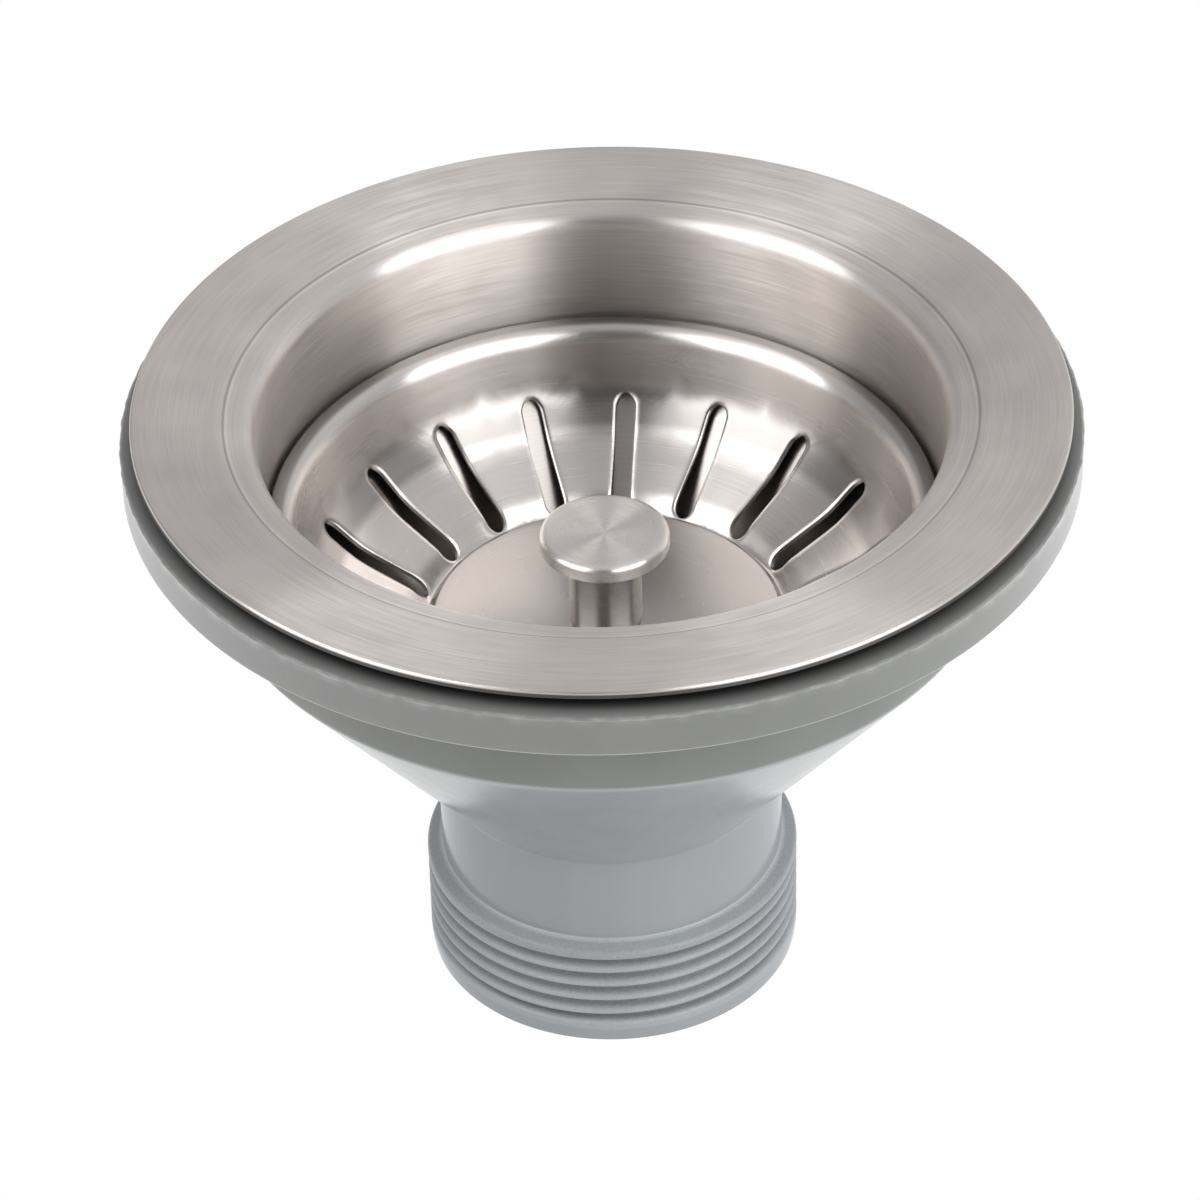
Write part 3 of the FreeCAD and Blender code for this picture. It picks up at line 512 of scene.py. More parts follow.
def set_inputs(tree, node, values):
    """Gives each named input of a node its number, or joins it to its signal."""
    for key, value in values:
        if isinstance(value, Signal):
            tree.links.new(value.socket, node.inputs[key])
        else:
            node.inputs[key].default_value = value


def add_node(tree, kind, values=(), **settings):
    """Adds one shader node. A value is an input and the number or signal that it gets."""
    node = tree.nodes.new(kind)
    for key, value in settings.items():
        setattr(node, key, value)
    set_inputs(tree, node, values)
    return node


class Signal:
    """An output socket of a shader tree, with which sums are written as plain sums."""

    def __init__(self, tree, socket):
        self.tree = tree
        self.socket = socket

    def to(self, kind, values=(), output=0, **settings):
        """One output of a node that is added to the same tree."""
        return Signal(self.tree, add_node(self.tree, kind, values, **settings).outputs[output])

    def maths(self, operation, first, second):
        """One sum of two numbers or signals."""
        return self.to("ShaderNodeMath", ((0, first), (1, second)), operation=operation)

    def __add__(self, other):
        return self.maths("ADD", self, other)

    def __sub__(self, other):
        return self.maths("SUBTRACT", self, other)

    def __rsub__(self, other):
        return self.maths("SUBTRACT", other, self)

    def __mul__(self, other):
        return self.maths("MULTIPLY", self, other)

    __radd__ = __add__
    __rmul__ = __mul__

    def highest(self, other):
        """The larger of two signals."""
        return self.maths("MAXIMUM", self, other)

    def vector(self, operation, other=(0.0, 0.0, 0.0), output=0):
        """One sum of two vectors."""
        values = ((0, self), (1, other))
        return self.to("ShaderNodeVectorMath", values, output, operation=operation)

    def scaled(self, factor):
        """A colour times a number."""
        values = ((0, self), ("Scale", factor))
        return self.to("ShaderNodeVectorMath", values, operation="SCALE")

    def noise(self, scale, detail=3.0, roughness=0.5):
        """Soft noise over a place, from 0 to 1."""
        values = (("Vector", self), ("Scale", scale), ("Detail", detail), ("Roughness", roughness))
        return self.to("ShaderNodeTexNoise", values, "Fac")

    def stretched(self, low=0.0, high=1.0):
        """Maps a noise between its usual limits onto low to high."""
        values = (("Value", self), (1, 0.3), (2, 0.7), (3, low), (4, high))
        return self.to("ShaderNodeMapRange", values)

    def eased(self, first, last, low, high):
        """Maps a value from first to last onto low to high along a soft S, and no further."""
        values = (("Value", self), (1, first), (2, last), (3, low), (4, high))
        return self.to("ShaderNodeMapRange", values, interpolation_type="SMOOTHSTEP")

    def between(self, first, last, low=0.0, high=1.0):
        """The same for a length, with first and last in millimetres."""
        return self.eased(first * MM, last * MM, low, high)

    def ring(self, middle, half, fade, gain):
        """One plus the gain within half of the middle, in millimetres, fading to one beyond it."""
        apart = self.maths("ABSOLUTE", self - middle * MM, 0.0)
        return apart.between(half, half + fade, 1.0 + gain, 1.0)

    def tinted(self, base, spread):
        """The base colour, darker by the spread at 0 and lighter by the spread at 1."""
        dark, light = (
            (*(min(1.0, channel * tone) for channel in base), 1.0)
            for tone in (1.0 - spread, 1.0 + spread)
        )
        values = ((0, self), (6, dark), (7, light))
        return self.to("ShaderNodeMix", values, 2, data_type="RGBA")

    def from_axis(self):
        """Distance from the axis, direction away from it and height of a place."""
        axes = [self.to("ShaderNodeSeparateXYZ", ((0, self),), axis) for axis in range(3)]
        flat = self.to("ShaderNodeCombineXYZ", ((0, axes[0]), (1, axes[1])))
        return flat.vector("LENGTH", output=1), flat.vector("NORMALIZE"), axes[2]


def new_finish(name, metallic, ior=1.5, anisotropic=0.0):
    """A material with one principled shader, whose constants are set on its own sockets."""
    material = bpy.data.materials.new(name)
    material.use_nodes = True
    tree = material.node_tree
    shader = tree.nodes["Principled BSDF"]
    set_inputs(tree, shader, (("Metallic", metallic), ("IOR", ior), ("Anisotropic", anisotropic)))
    place = Signal(tree, add_node(tree, "ShaderNodeTexCoord").outputs["Object"])
    return material, shader, place


def finish(shader, tone, roughness, height, distance):
    """Joins the colour and roughness, and lets a height from 0 to 1 tilt the surface, at a
    distance in millimetres."""
    normal = height.to("ShaderNodeBump", (("Height", height), ("Distance", distance * MM)))
    values = (("Base Color", tone), ("Roughness", roughness), ("Normal", normal))
    set_inputs(height.tree, shader, values)


def turned_steel(name, base, roughness, streak, anisotropic, lines, long, rings=(), edge=None,
                 floor=None):
    """Steel with the fine lines that turning or circular brushing leaves, so many in a millimetre.

    The noise is read at (a cos turn, a sin turn, k (radius + height)), so it is long round the
    axis, narrow across it and has no seam. The tangent points across the lines, up the sheet.
    Rings are painted bands of shade and highlight, each lighter or darker. An edge is the radius
    of the sheet's edge and a height: below it the outer skirt gets painted shade, and the sheet
    gets painted shade that grows further down. A floor is the radius inside which the sheet is
    flat, darker from painted shade, smoother and brushed less in one direction.
    """
    material, shader, place = new_finish(name, 1.0, anisotropic=anisotropic)
    radius, outward, height = place.from_axis()
    across = radius + height
    patterns = []
    for stretch, fine in ((long, lines / MM), (0.4 * long, 0.3 * lines / MM)):
        rise = place.to("ShaderNodeCombineXYZ", ((2, across * fine),))
        at = outward.vector("MULTIPLY", (stretch, stretch, 0.0)).vector("ADD", rise)
        patterns.append(at.noise(1.0, 2.0, 0.6))
    grain = patterns[0] * 0.7 + patterns[1] * 0.3
    cloud = place.noise(1.0 / (14.0 * MM), 2.0)
    tone = (grain.stretched() * 0.55 + cloud.stretched() * 0.45).tinted(base, streak)
    # Painted shade and highlight: bands lighter or darker at given radii.
    shades = [radius.ring(*ring) for ring in rings]
    uneven = 0.05
    # Painted shade on the outer skirt below the edge height, and painted shade growing down the
    # sheet.
    if edge is not None:
        edge_radius, edge_height = edge
        far_out = radius.between(edge_radius - 0.3, edge_radius - 0.1)
        sunk = height.between(edge_height - 0.15, edge_height + 0.15, 1.0, 0.0)
        deep_shade = height.between(edge_height - 14.0, edge_height - 3.0, 0.24, 0.0)
        shades.append(1.0 - deep_shade.highest(far_out * sunk * 0.85))
    # Painted shade: the floor is darker; its anisotropy and roughness differ as a finish.
    if floor is not None:
        uneven = 0.02
        on_floor = radius.between(floor, floor + 1.0, 1.0, 0.0)
        set_inputs(place.tree, shader, (("Anisotropic", anisotropic - on_floor * 0.55),))
        shades.append(1.0 - on_floor * 0.24)
    for shade in shades:
        tone = tone.scaled(shade)
    rough = grain.stretched(roughness - uneven, roughness + uneven)
    finish(shader, tone, rough, grain, 0.02 * streak)
    values = ((0, (0.0, 0.0, 1.0)), (1, outward))
    side = place.to("ShaderNodeVectorMath", values, operation="CROSS_PRODUCT")
    facing = place.to("ShaderNodeNewGeometry", (), "Normal")
    set_inputs(place.tree, shader, (("Tangent", side.vector("CROSS_PRODUCT", facing)),))
    return material


def cast_metal(name, base, roughness, mottle=0.06):
    """Plain machined or plated metal with a fine mottle in its colour and roughness."""
    material, shader, place = new_finish(name, 1.0)
    speck = place.noise(1.0 / (0.8 * MM), 4.0, 0.6)
    both = (speck + place.noise(1.0 / (5.0 * MM), 2.0)) * 0.5
    rough = both.stretched(roughness - 0.06, roughness + 0.06)
    finish(shader, both.stretched().tinted(base, mottle), rough, speck, 0.006)
    return material


def moulded_plastic(name, base, band, band_foot, thread):
    """Glossy grey plastic: slow ripples from the mould, a fine grain and faint flow marks.

    The band above its foot is matt, darker and greener, with a painted highlight along its lower
    edge. A thread is the radii of its root and crest. The collar is dull and grainy, with painted
    shade at the thread's root, a painted highlight on its crest and another painted highlight at
    the collar's top.
    """
    material, shader, place = new_finish(name, 0.0, ior=1.49)
    ripple = place.noise(1.0 / (9.0 * MM), 2.0)
    grain = place.noise(1.0 / (0.35 * MM), 3.0, 0.6)
    drawn = place.to("ShaderNodeMapping", ((0, place), ("Scale", (260.0, 260.0, 26.0))))
    flow = drawn.noise(1.0, 3.0, 0.6)
    radius, _, level = place.from_axis()
    on_band = level.between(band_foot - 0.1, band_foot + 0.1)
    on_collar = level.between(COLLAR_TOP - 0.2, COLLAR_TOP + 0.2, 1.0, 0.0)
    on_collar = on_collar * level.between(THREAD_LOW, THREAD_LOW + 0.8)
    plain = ((flow + ripple) * 0.5).stretched().tinted(base, 0.035)
    values = ((0, on_band), (6, plain), (7, ripple.stretched().tinted(band, 0.06)))
    tone = place.to("ShaderNodeMix", values, 2, data_type="RGBA")
    # Painted shade in the thread's root and a painted highlight on its crest.
    groove = radius.between(*thread, -0.28, 0.14)
    groove = groove * level.between(THREAD_HIGH - 0.3, THREAD_HIGH, 1.0, 0.0)
    speck = (grain.stretched(-0.09, 0.11) + groove) * on_collar + 1.0
    # Painted highlights: light lines along the band's foot and at the top of the collar.
    painted_edge_highlights = level.ring(band_foot, 0.08, 0.2, 0.35) * level.ring(COLLAR_TOP, 0.1, 0.2, 0.35)
    rough = flow.stretched(0.14, 0.19) + on_band.highest(on_collar) * 0.26
    height = ripple * 0.85 + grain * (on_collar * 0.5 + 0.15)
    finish(shader, tone.scaled(speck * painted_edge_highlights), rough, height, 0.03)
    set_inputs(place.tree, shader, (("Sheen Weight", on_band * 0.5),))
    return material


def matte_rubber(name, base, roughness, edges=None):
    """Rubber with a fine pitted skin, slow changes of tone and a little dust.

    Edges are the radius inside which it has painted shadow from the flange above, the radius and
    the two heights of its outer edges, which get painted highlights broken up by noise; at the
    upper edge this is also the pale colour of the moulding flash.
    """
    material, shader, place = new_finish(name, 0.0, ior=1.45)
    skin = place.noise(1.0 / (0.25 * MM), 4.0, 0.65)
    both = (skin + place.noise(1.0 / (7.0 * MM), 3.0)) * 0.5
    tone = both.stretched().tinted(base, 0.08)
    if edges is not None:
        radius, _, level = place.from_axis()
        dark_inside, outer, high, low = edges
        # Painted shadow under the flange: darker inwards from the ring's outer edge, with less
        # sheen there too.
        under_flange_shadow = radius.between(dark_inside - 2.6, dark_inside + 1.4, 0.05, 1.0)
        tone = tone.scaled(under_flange_shadow)
        set_inputs(place.tree, shader, (("Sheen Weight", under_flange_shadow * 0.9),))
        # Painted highlights along the outer edges, broken up by noise; the upper one is also the
        # pale moulding flash.
        ragged_line = place.noise(1.0 / (1.6 * MM)).stretched(0.15, 1.0)
        rim = radius.between(outer - 0.45, outer - 0.15)
        for edge, gain in ((high, 0.7), (low, 0.25)):
            flash_and_edge_highlight = (level.ring(edge, 0.12, 0.25, gain) - 1.0) * rim * ragged_line
            tone = tone.scaled(flash_and_edge_highlight + 1.0)
    finish(shader, tone, both.stretched(roughness - 0.05, roughness + 0.05), skin, 0.02)
    return material


def build_bowl(s, finishes):
    """The flange, its lip, the wall, the sloping floor and the sump, of one sheet."""
    corners = heights(
        (s.flange_radius, 0.9, 0.0), (s.flange_radius, 0.0, s.flange_edge), (46.25, 0.88, 0.0),
        (45.95, 1.0, 0.0), (42.3, 1.6, s.lip_bend), (42.0, 21.5, 6.0), (24.5, 38.0, 3.0),
        (18.0, 38.0, 1.2), (17.0, 46.0, 1.5), (SCREW_HOLE, 46.0, 0.0),
    )
    lines = sheet_lines(corners, s.sheet)
    steps = (56, 6)
    span = length_at(lines[0], np.array([s.window_outer + 0.5, s.window_inner - 0.9]))
    edge = window_edge(lines[0], s.window_inner, s.window_outer, s.spoke_half, s.windows, *steps)
    patches = holed_sheet(lines, span, (s.windows, 0.0, *steps), edge, (0.08, 0.3))
    # Painted shade and highlight: a dark line and a light band along the lip's small step, painted
    # shade on the flange's skirt and down the wall.
    material = turned_steel(
        "bowl_steel", finishes.bowl_colour, finishes.bowl_roughness, 0.19, 0.97, 3.6, 5.0,
        rings=((46.1, 0.05, 0.19, -0.34), (45.75, 0.08, 0.16, 0.12)),
        edge=(s.flange_radius, WASTE_TOP - 0.35),
    )
    add_piece("strainer_bowl_sheet", patches, material, "waste", ["strainer_bowl"])


def build_basket(s, finishes):
    """The basket with its rolled rim, slots, gutter and floor, of one sheet."""
    rim = s.rim_radius
    corners = heights(
        (rim, 17.0, 0.0), (rim, 15.6, s.rim_bend), (rim - 3.2, 16.0, 2.6), (rim - 4.7, 24.2, 5.0),
        (31.97, 28.6, 12.0), (25.0, 32.1, 4.0), (23.0, 34.0, 0.3), (22.5, 34.0, 0.3),
        (22.2, BASKET_FLOOR, 0.85), (STUD_HOLE, BASKET_FLOOR, 0.0),
    )
    lines = sheet_lines(corners, s.sheet)
    steps = (20, 44)
    span = length_at(lines[0], np.array([37.4, 22.8]))
    edge = slot_edge(lines[0], s.slot_inner, s.slot_outer, s.slot_half, *steps)
    patches = holed_sheet(lines, span, (s.slots, s.slot_start, *steps), edge, (s.edge_roll, 0.55))
    # Painted shade: darker bands on the shoulder above the slots and at the rim's outer edge, and
    # a darker floor.
    material = turned_steel(
        "basket_steel", finishes.basket_colour, finishes.basket_roughness, 0.06, 0.93, 4.0, 2.2,
        rings=((35.1, 1.2, 1.3, -0.42), (40.9, 1.0, 0.6, -0.45)), floor=22.3,
    )
    add_piece("basket_sheet", patches, material, "basket_group", ["basket"])


def build_knob(s, finishes):
    """The knob with its shallow dish, and the stem that carries it."""
    knob_steel = turned_steel("knob_steel", finishes.knob_colour, 0.3, 0.12, 0.96, 4.0, 2.0)
    stem_steel = turned_steel("stem_steel", finishes.stem_colour, 0.17, 0.05, 0.3, 4.0, 2.0)
    radius, top, foot, dish = s.knob_radius, KNOB_TOP, KNOB_FOOT, s.dish_radius
    socket_radius, socket_top = 2.0, foot + 1.3
    share = np.linspace(0.0, 1.0, 12)[:-1, None]
    hollow = np.concatenate([share * dish, top - s.dish_depth * (1.0 - share**2)], axis=1)
    side = bent_line(
        [
            (dish, top, 0.0), (radius, top, s.knob_edge), (radius, foot, 0.7),
            (socket_radius, foot, 0.0), (socket_radius, socket_top, 0.0), (0.0, socket_top, 0.0),
        ]
    )
    knob = turned(np.concatenate([hollow, side]), 160)
    add_piece(
        "knob_turned", [knob], knob_steel, "basket_group", ["knob"], crease=50.0
    )
    low, high, _ = reach("basket_stem")
    floor = WASTE_TOP - BASKET_FLOOR
    stem = bent_line(
        [
            (0.0, high, 0.0), (socket_radius, high, 0.2), (socket_radius, foot, 0.0),
            (s.stem_radius, foot, 0.3), (s.stem_radius, floor, 0.3), (3.0, floor, 0.0),
            (3.0, low, 0.4), (0.0, low, 0.0),
        ]
    )
    add_piece(
        "basket_stem_turned", [turned(stem, 120)], stem_steel, "basket_group",
        ["basket_stem"],
    )


def build_seals(s, finishes):
    """The thick ring, the thin seal, the stopper and the spigot's ring."""
    radius, edge = s.gasket_radius - s.flash_reach, s.gasket_edge
    # Painted shadow inside 57.8 mm under the flange, and painted highlights on the ring's outer
    # edges.
    gasket_rubber = matte_rubber(
        "gasket_rubber", finishes.gasket_colour, 0.42,
        edges=(57.8, radius, WASTE_TOP - 2.9, WASTE_TOP - 8.1),
    )
    line = bent_line(
        heights(
            (43.5, GASKET_TOP, 0.0), (radius, GASKET_TOP, edge), (radius, GASKET_FOOT, edge),
            (45.5, GASKET_FOOT, 0.3), (45.5, 10.6, 0.3), (43.5, 10.6, 0.0),
        )
    )
    edge_height = WASTE_TOP - GASKET_TOP - 0.5 * edge

    def flash(radius_now, height, turn):
        """The rim left where the mould halves meet: a sum of sines of many turns, cut off
        below nothing, reaches out in a bell 0.13 mm high at the upper edge."""
        waves = ((1.0, 61.0, 0.7), (1.0, 97.0, 2.1), (0.8, 173.0, 4.0), (0.6, 29.0, 1.3))
        wave = sum(size * np.sin(number * turn + start) for size, number, start in waves)
        ragged = np.clip(0.45 + 0.2 * wave, 0.12, 1.0)
        near = np.exp(-(((height - edge_height) / 0.13) ** 2)) * (radius_now > radius - 0.6)
        return radius_now + s.flash_reach * ragged * near, height

    add_ring(
        "sink_gasket_ring", line, 720, gasket_rubber, "waste", "sink_gasket",
        lift=flash,
    )

    seal_rubber = matte_rubber("seal_rubber", finishes.seal_colour, 0.5)
    seal = flat_ring("flange_seal", s.seal_inner, s.seal_outer, 0.25, 0.25)
    add_ring("flange_seal_ring", seal, 300, seal_rubber, "waste", "flange_seal")

    stopper_rubber = matte_rubber("stopper_rubber", finishes.stopper_colour, 0.45)
    low, high, _ = reach("stopper")
    lip, side, web_foot = s.stopper_radius, s.stopper_radius - 0.9, high - 2.5
    stopper = bent_line(
        [
            (STUD_HOLE, high, 0.0), (side, high, 0.3), (side, high - 1.3, 0.2),
            (lip, low + 0.5, 0.2), (lip, low, 0.2), (lip - 2.6, low, 0.2),
            (lip - 5.2, web_foot, 0.5), (STUD_HOLE, web_foot, 0.0),
        ]
    )
    add_ring(
        "stopper_moulding", stopper, 220, stopper_rubber, "basket_group",
        "stopper",
    )

    low, high, outer = reach("spigot_ring")
    section, steps = 0.5 * (high - low), 20
    swing = FULL_TURN * np.arange(steps) / steps
    across, up = section * np.cos(swing), section * np.sin(swing)
    ring = np.stack([outer - section + across, 0.5 * (low + high) + up], 1)
    add_ring(
        "spigot_ring_round", ring, 72, stopper_rubber, "basket_group",
        "spigot_ring",
    )


def build_body(s, finishes):
    """The plastic body with its cone, neck, threaded collar, boss and ribs."""
    crest, neck, bore, columns = s.thread_radius, s.neck_radius, s.bore_radius, 320
    cone_foot = WASTE_TOP - CONE_FOOT
    ledge, ledge_foot, cone_top = (WASTE_TOP - depth for depth in (GASKET_FOOT, 10.3, CONE_TOP))
    inside, mouth, mouth_top = 45.7, 19.6, 15.0
    outer = bent_line(
        [
            (inside, ledge, 0.0), (s.rim_radius, ledge, 0.6), (s.rim_radius, ledge_foot, 0.6),
            (s.band_radius, ledge_foot, 0.8), (s.band_radius, cone_top, 0.7),
            (neck, cone_foot, 1.0), (neck, COLLAR_TOP, 0.25), (crest, COLLAR_TOP - 0.9, 0.7),
            (crest, THREAD_HIGH, 0.0),
        ]
    )
    inner = bent_line(
        [
            (crest, THREAD_LOW, 0.0), (crest - 0.15, 0.0, 0.25), (mouth, 0.0, 0.2),
            (mouth, mouth_top, 0.0), (bore, mouth_top, 0.2), (bore, cone_foot, 3.0),
            (inside, cone_top, 0.5), (inside, ledge, 0.0),
        ]
    )
    patches = [turned(outer, columns), turned(inner, columns), thread(s, columns)]
    patches.append(turned(boss(), 180, lift=nut_trap))
    patches += [rib(math.pi / 4 + quarter * math.pi / 2) for quarter in range(4)]
    material = moulded_plastic(
        "body_plastic", finishes.plastic_colour, finishes.band_colour, WASTE_TOP - 21.5,
        (crest - 0.9, crest - 0.2),
    )
    add_piece(
        "waste_body_moulding", patches, material, "waste", ["waste_body"],
        crease=50.0,
    )


def thread(s, columns):
    """The right-hand thread as rows that rise by one pitch in a turn.

    Over one pitch the depth follows a triangle wave t from -1 in the root to 1 on the crest,
    rounded off as t / (1 + |t| ** 6) ** (1 / 6) with t half as steep again. It fades out near both
    ends, and rows are stopped at the ends, where they close up.
    """
    rows_per_turn, first_root, steepness = 16, 8.25, 1.5
    low, high, pitch = THREAD_LOW, THREAD_HIGH, s.thread_pitch

    def rounded(wave):
        """The wave kept between -1 and 1, with its tips rounded off."""
        return wave / (1.0 + np.abs(wave) ** 6) ** (1.0 / 6.0)

    def soft(share):
        """A soft S from 0 to 1: three times the share's square less twice its cube."""
        share = np.clip(share, 0.0, 1.0)
        return share**2 * (3.0 - 2.0 * share)

    rows = math.ceil((high - low) / pitch + 2.0) * rows_per_turn
    turn = -0.5 * math.pi + FULL_TURN * np.arange(columns + 1) / columns
    share = np.arange(columns + 1) / columns
    below = math.ceil(0.5 * rows / rows_per_turn) + 0.5
    level = first_root + pitch * (np.arange(rows) / rows_per_turn - below)
    height = np.clip(level[:, None] + pitch * share[None, :], low, high)
    phase = np.mod((height - first_root) / pitch - share[None, :], 1.0)
    form = rounded(steepness * (1.0 - 4.0 * np.abs(phase - 0.5))) / rounded(steepness)
    fade = soft((height - low - 1.1) / 0.9) * soft((high - height) / 0.6)
    radius = s.thread_radius - fade * 0.5 * s.thread_depth * (1.0 - form)
    points = around(radius, height, turn[None, :])
    return points, grid_faces(rows, columns + 1, closed_columns=False)


def boss():
    """Outline of the boss about the screw, with the nut's trap at its foot."""
    trap, side = 8.1, 11.5
    return bent_line(
        [
            (trap, BOSS_FOOT, 0.0), (side, BOSS_FOOT, 0.3), (side, BOSS_TOP, 0.8),
            (SCREW_HOLE, BOSS_TOP, 0.3), (SCREW_HOLE, NUT_TOP, 0.0), (trap, NUT_TOP, 0.0),
            (trap, BOSS_FOOT, 0.0),
        ]
    )


def nut_trap(radius, height, turn):
    """Below its step, the inside of the boss is a hexagon that holds the nut. On the foot it
    goes over into a circle, in step with the radius."""
    flats, circle = 8.1, 9.8
    share = np.clip((radius - flats) / (circle - flats), 0.0, 1.0)
    six = hexagon(flats, turn) * (1.0 - share) + circle * share
    trap = (radius > flats - 0.01) & (radius < circle) & (height < NUT_TOP + 0.1)
    return np.where(trap, six, radius), height


def rib(turn):
    """A rib between boss and bore: a closed wall over its outline in plan, turned about the
    axis, with both ends filled from the outline's middle."""
    inner, outer, half, rib_top, steps = 10.6, 20.4, 1.3, 28.0, 8
    corners = np.array([(inner, -half), (outer, -half), (outer, half), (inner, half)])
    share = np.linspace(0.0, 1.0, steps + 1)[:-1, None]
    sides = zip(corners, np.roll(corners, -1, axis=0))
    plan = np.concatenate([here * (1.0 - share) + ahead * share for here, ahead in sides])
    plan = plan @ np.array([[math.cos(turn), math.sin(turn)], [-math.sin(turn), math.cos(turn)]])
    middle = np.repeat(plan.mean(0)[None], len(plan), 0)
    rings = [
        np.column_stack([outline, np.full(len(plan), level)])
        for outline, level in (
            (middle, BOSS_FOOT), (plan, BOSS_FOOT), (plan, rib_top), (middle, rib_top)
        )
    ]
    return np.concatenate(rings), grid_faces(len(rings), len(plan))


def build_fixings(s, finishes):
    """The washer, the nut and the retainer, and the finish of the slotted screw and spigot."""
    steel = cast_metal("fixing_steel", finishes.fixing_colour, 0.3)
    brass = cast_metal("nut_brass", finishes.brass_colour, 0.32)

    washer = flat_ring("screw_washer", SCREW_HOLE, s.washer_radius, 0.25, 0.25)
    add_ring("screw_washer_disc", washer, 160, steel, "waste", "screw_washer")

    low, high, _ = reach("insert_nut")
    flats, hole, face = s.nut_flats, s.nut_bore, s.nut_bore + 1.6
    nut = bent_line(
        [
            (hole, high, 0.0), (face, high, 0.0), (flats, high - 0.25, 0.0),
            (flats, low + 0.25, 0.0), (face, low, 0.0), (hole, low, 0.0),
        ]
    )

    def six_sides(radius, height, turn):
        """The outer rows follow a hexagon."""
        return np.where(radius > flats - 0.01, hexagon(radius, turn), radius), height

    add_ring(
        "insert_nut_hexagon", nut, 180, brass, "waste", "insert_nut",
        lift=six_sides,
    )

    retainer = flat_ring("stopper_retainer", STUD_HOLE, s.retainer_radius, 0.2, 0.3)
    add_ring(
        "stopper_retainer_disc", retainer, 140, steel, "basket_group",
        "stopper_retainer",
    )

    for name in ("clamp_screw", "locating_spigot"):
        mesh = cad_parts[name].data
        mesh.materials.clear()
        mesh.materials.append(steel)


def add_floor(radius):
    """A flat disc, with rings that widen by a fixed factor. Its faces point down, so from above
    it is clear, shows the white of the room below it and keeps no shadow. From below it is
    white."""
    rings = np.concatenate([[0.0], np.geomspace(20.0, radius, 24)])
    line = np.stack([rings, np.full(len(rings), -0.03)], 1)
    material = bpy.data.materials.new("studio_floor")
    material.use_nodes = True
    tree = material.node_tree
    tree.nodes.clear()
    place = Signal(tree, add_node(tree, "ShaderNodeTexCoord").outputs["Object"])
    paper = place.noise(120.0).tinted((0.8, 0.8, 0.8), 0.0125)
    diffuse = place.to("ShaderNodeBsdfDiffuse", (("Color", paper),))
    glow = place.to("ShaderNodeEmission", (("Strength", FLOOR_GLOW),))
    seen = place.to("ShaderNodeAddShader", ((0, diffuse), (1, glow)))
    path = add_node(tree, "ShaderNodeLightPath").outputs
    straight = Signal(tree, path["Is Camera Ray"]).highest(Signal(tree, path["Is Glossy Ray"]))
    straight = straight.highest(Signal(tree, path["Is Transmission Ray"]))
    front = place.to("ShaderNodeMixShader", ((0, straight), (1, diffuse), (2, seen)))
    clear = place.to("ShaderNodeBsdfTransparent")
    behind = place.to("ShaderNodeNewGeometry", (), "Backfacing")
    shown = place.to("ShaderNodeMixShader", ((0, behind), (1, front), (2, clear)))
    add_node(tree, "ShaderNodeOutputMaterial", (("Surface", shown),))
    floor = add_piece("studio_floor", [turned(line, 96)], material)


def from_angles(azimuth, elevation):
    """The direction at an azimuth and an elevation in radians."""
    flat = math.cos(elevation)
    return flat * math.cos(azimuth), flat * math.sin(azimuth), math.sin(elevation)


def add_world(scene, strength):
    """A pale room, the same for every ray: white up to a little above the horizon, grey
    above, and darker or lighter in round patches, so that turned steel has something to
    mirror. A patch fades in between two cosines of the angle from its middle."""
    world = bpy.data.worlds.new("studio")
    world.use_nodes = True
    scene.world = world
    tree = world.node_tree
    tree.nodes.clear()
    way = Signal(tree, add_node(tree, "ShaderNodeTexCoord").outputs["Generated"])
    level = strength
    for *angles, gain in ROOM_PATCHES:
        azimuth, elevation, outer, inner = (math.radians(angle) for angle in angles)
        near = way.vector("DOT_PRODUCT", from_angles(azimuth, elevation), 1)
        level = level + near.eased(math.cos(outer), math.cos(inner), 0.0, gain)
    rise = way.to("ShaderNodeSeparateXYZ", ((0, way),), 2)
    high = rise.eased(0.09, 0.2, 0.0, 1.0)
    values = (("Color", (1.0, 1.0, 1.0, 1.0)), ("Strength", high * level + (1.0 - high)))
    back = way.to("ShaderNodeBackground", values)
    add_node(tree, "ShaderNodeOutputWorld", (("Surface", back),))


def add_lamps(scene, settings):
    """Square lamps about the object, each aimed at its middle. A lamp's power is its
    brightness times its area times pi. The side lamp isn't mirrored in the metal."""
    lamps = (
        ("key_lamp", (0.62, -0.58, 0.62), 0.92, settings.key_strength, True),
        ("fill_lamp", (-0.73, -0.36, 0.74), 0.9, settings.fill_strength, True),
        ("side_lamp", (0.88, -0.46, 0.12), 0.3, settings.side_strength, False),
    )
    aim = Vector((0.0, 0.0, 0.05))
    for name, place, side, strength, mirrored in lamps:
        data = bpy.data.lights.new(name, "AREA")
        data.shape = "SQUARE"
        data.size = side
        data.energy = strength * side * side * math.pi
        lamp = bpy.data.objects.new(name, data)
        scene.collection.objects.link(lamp)
        lamp.location = place
        lamp.visible_glossy = mirrored
        lamp.rotation_euler = (aim - lamp.location).to_track_quat("-Z", "Y").to_euler()


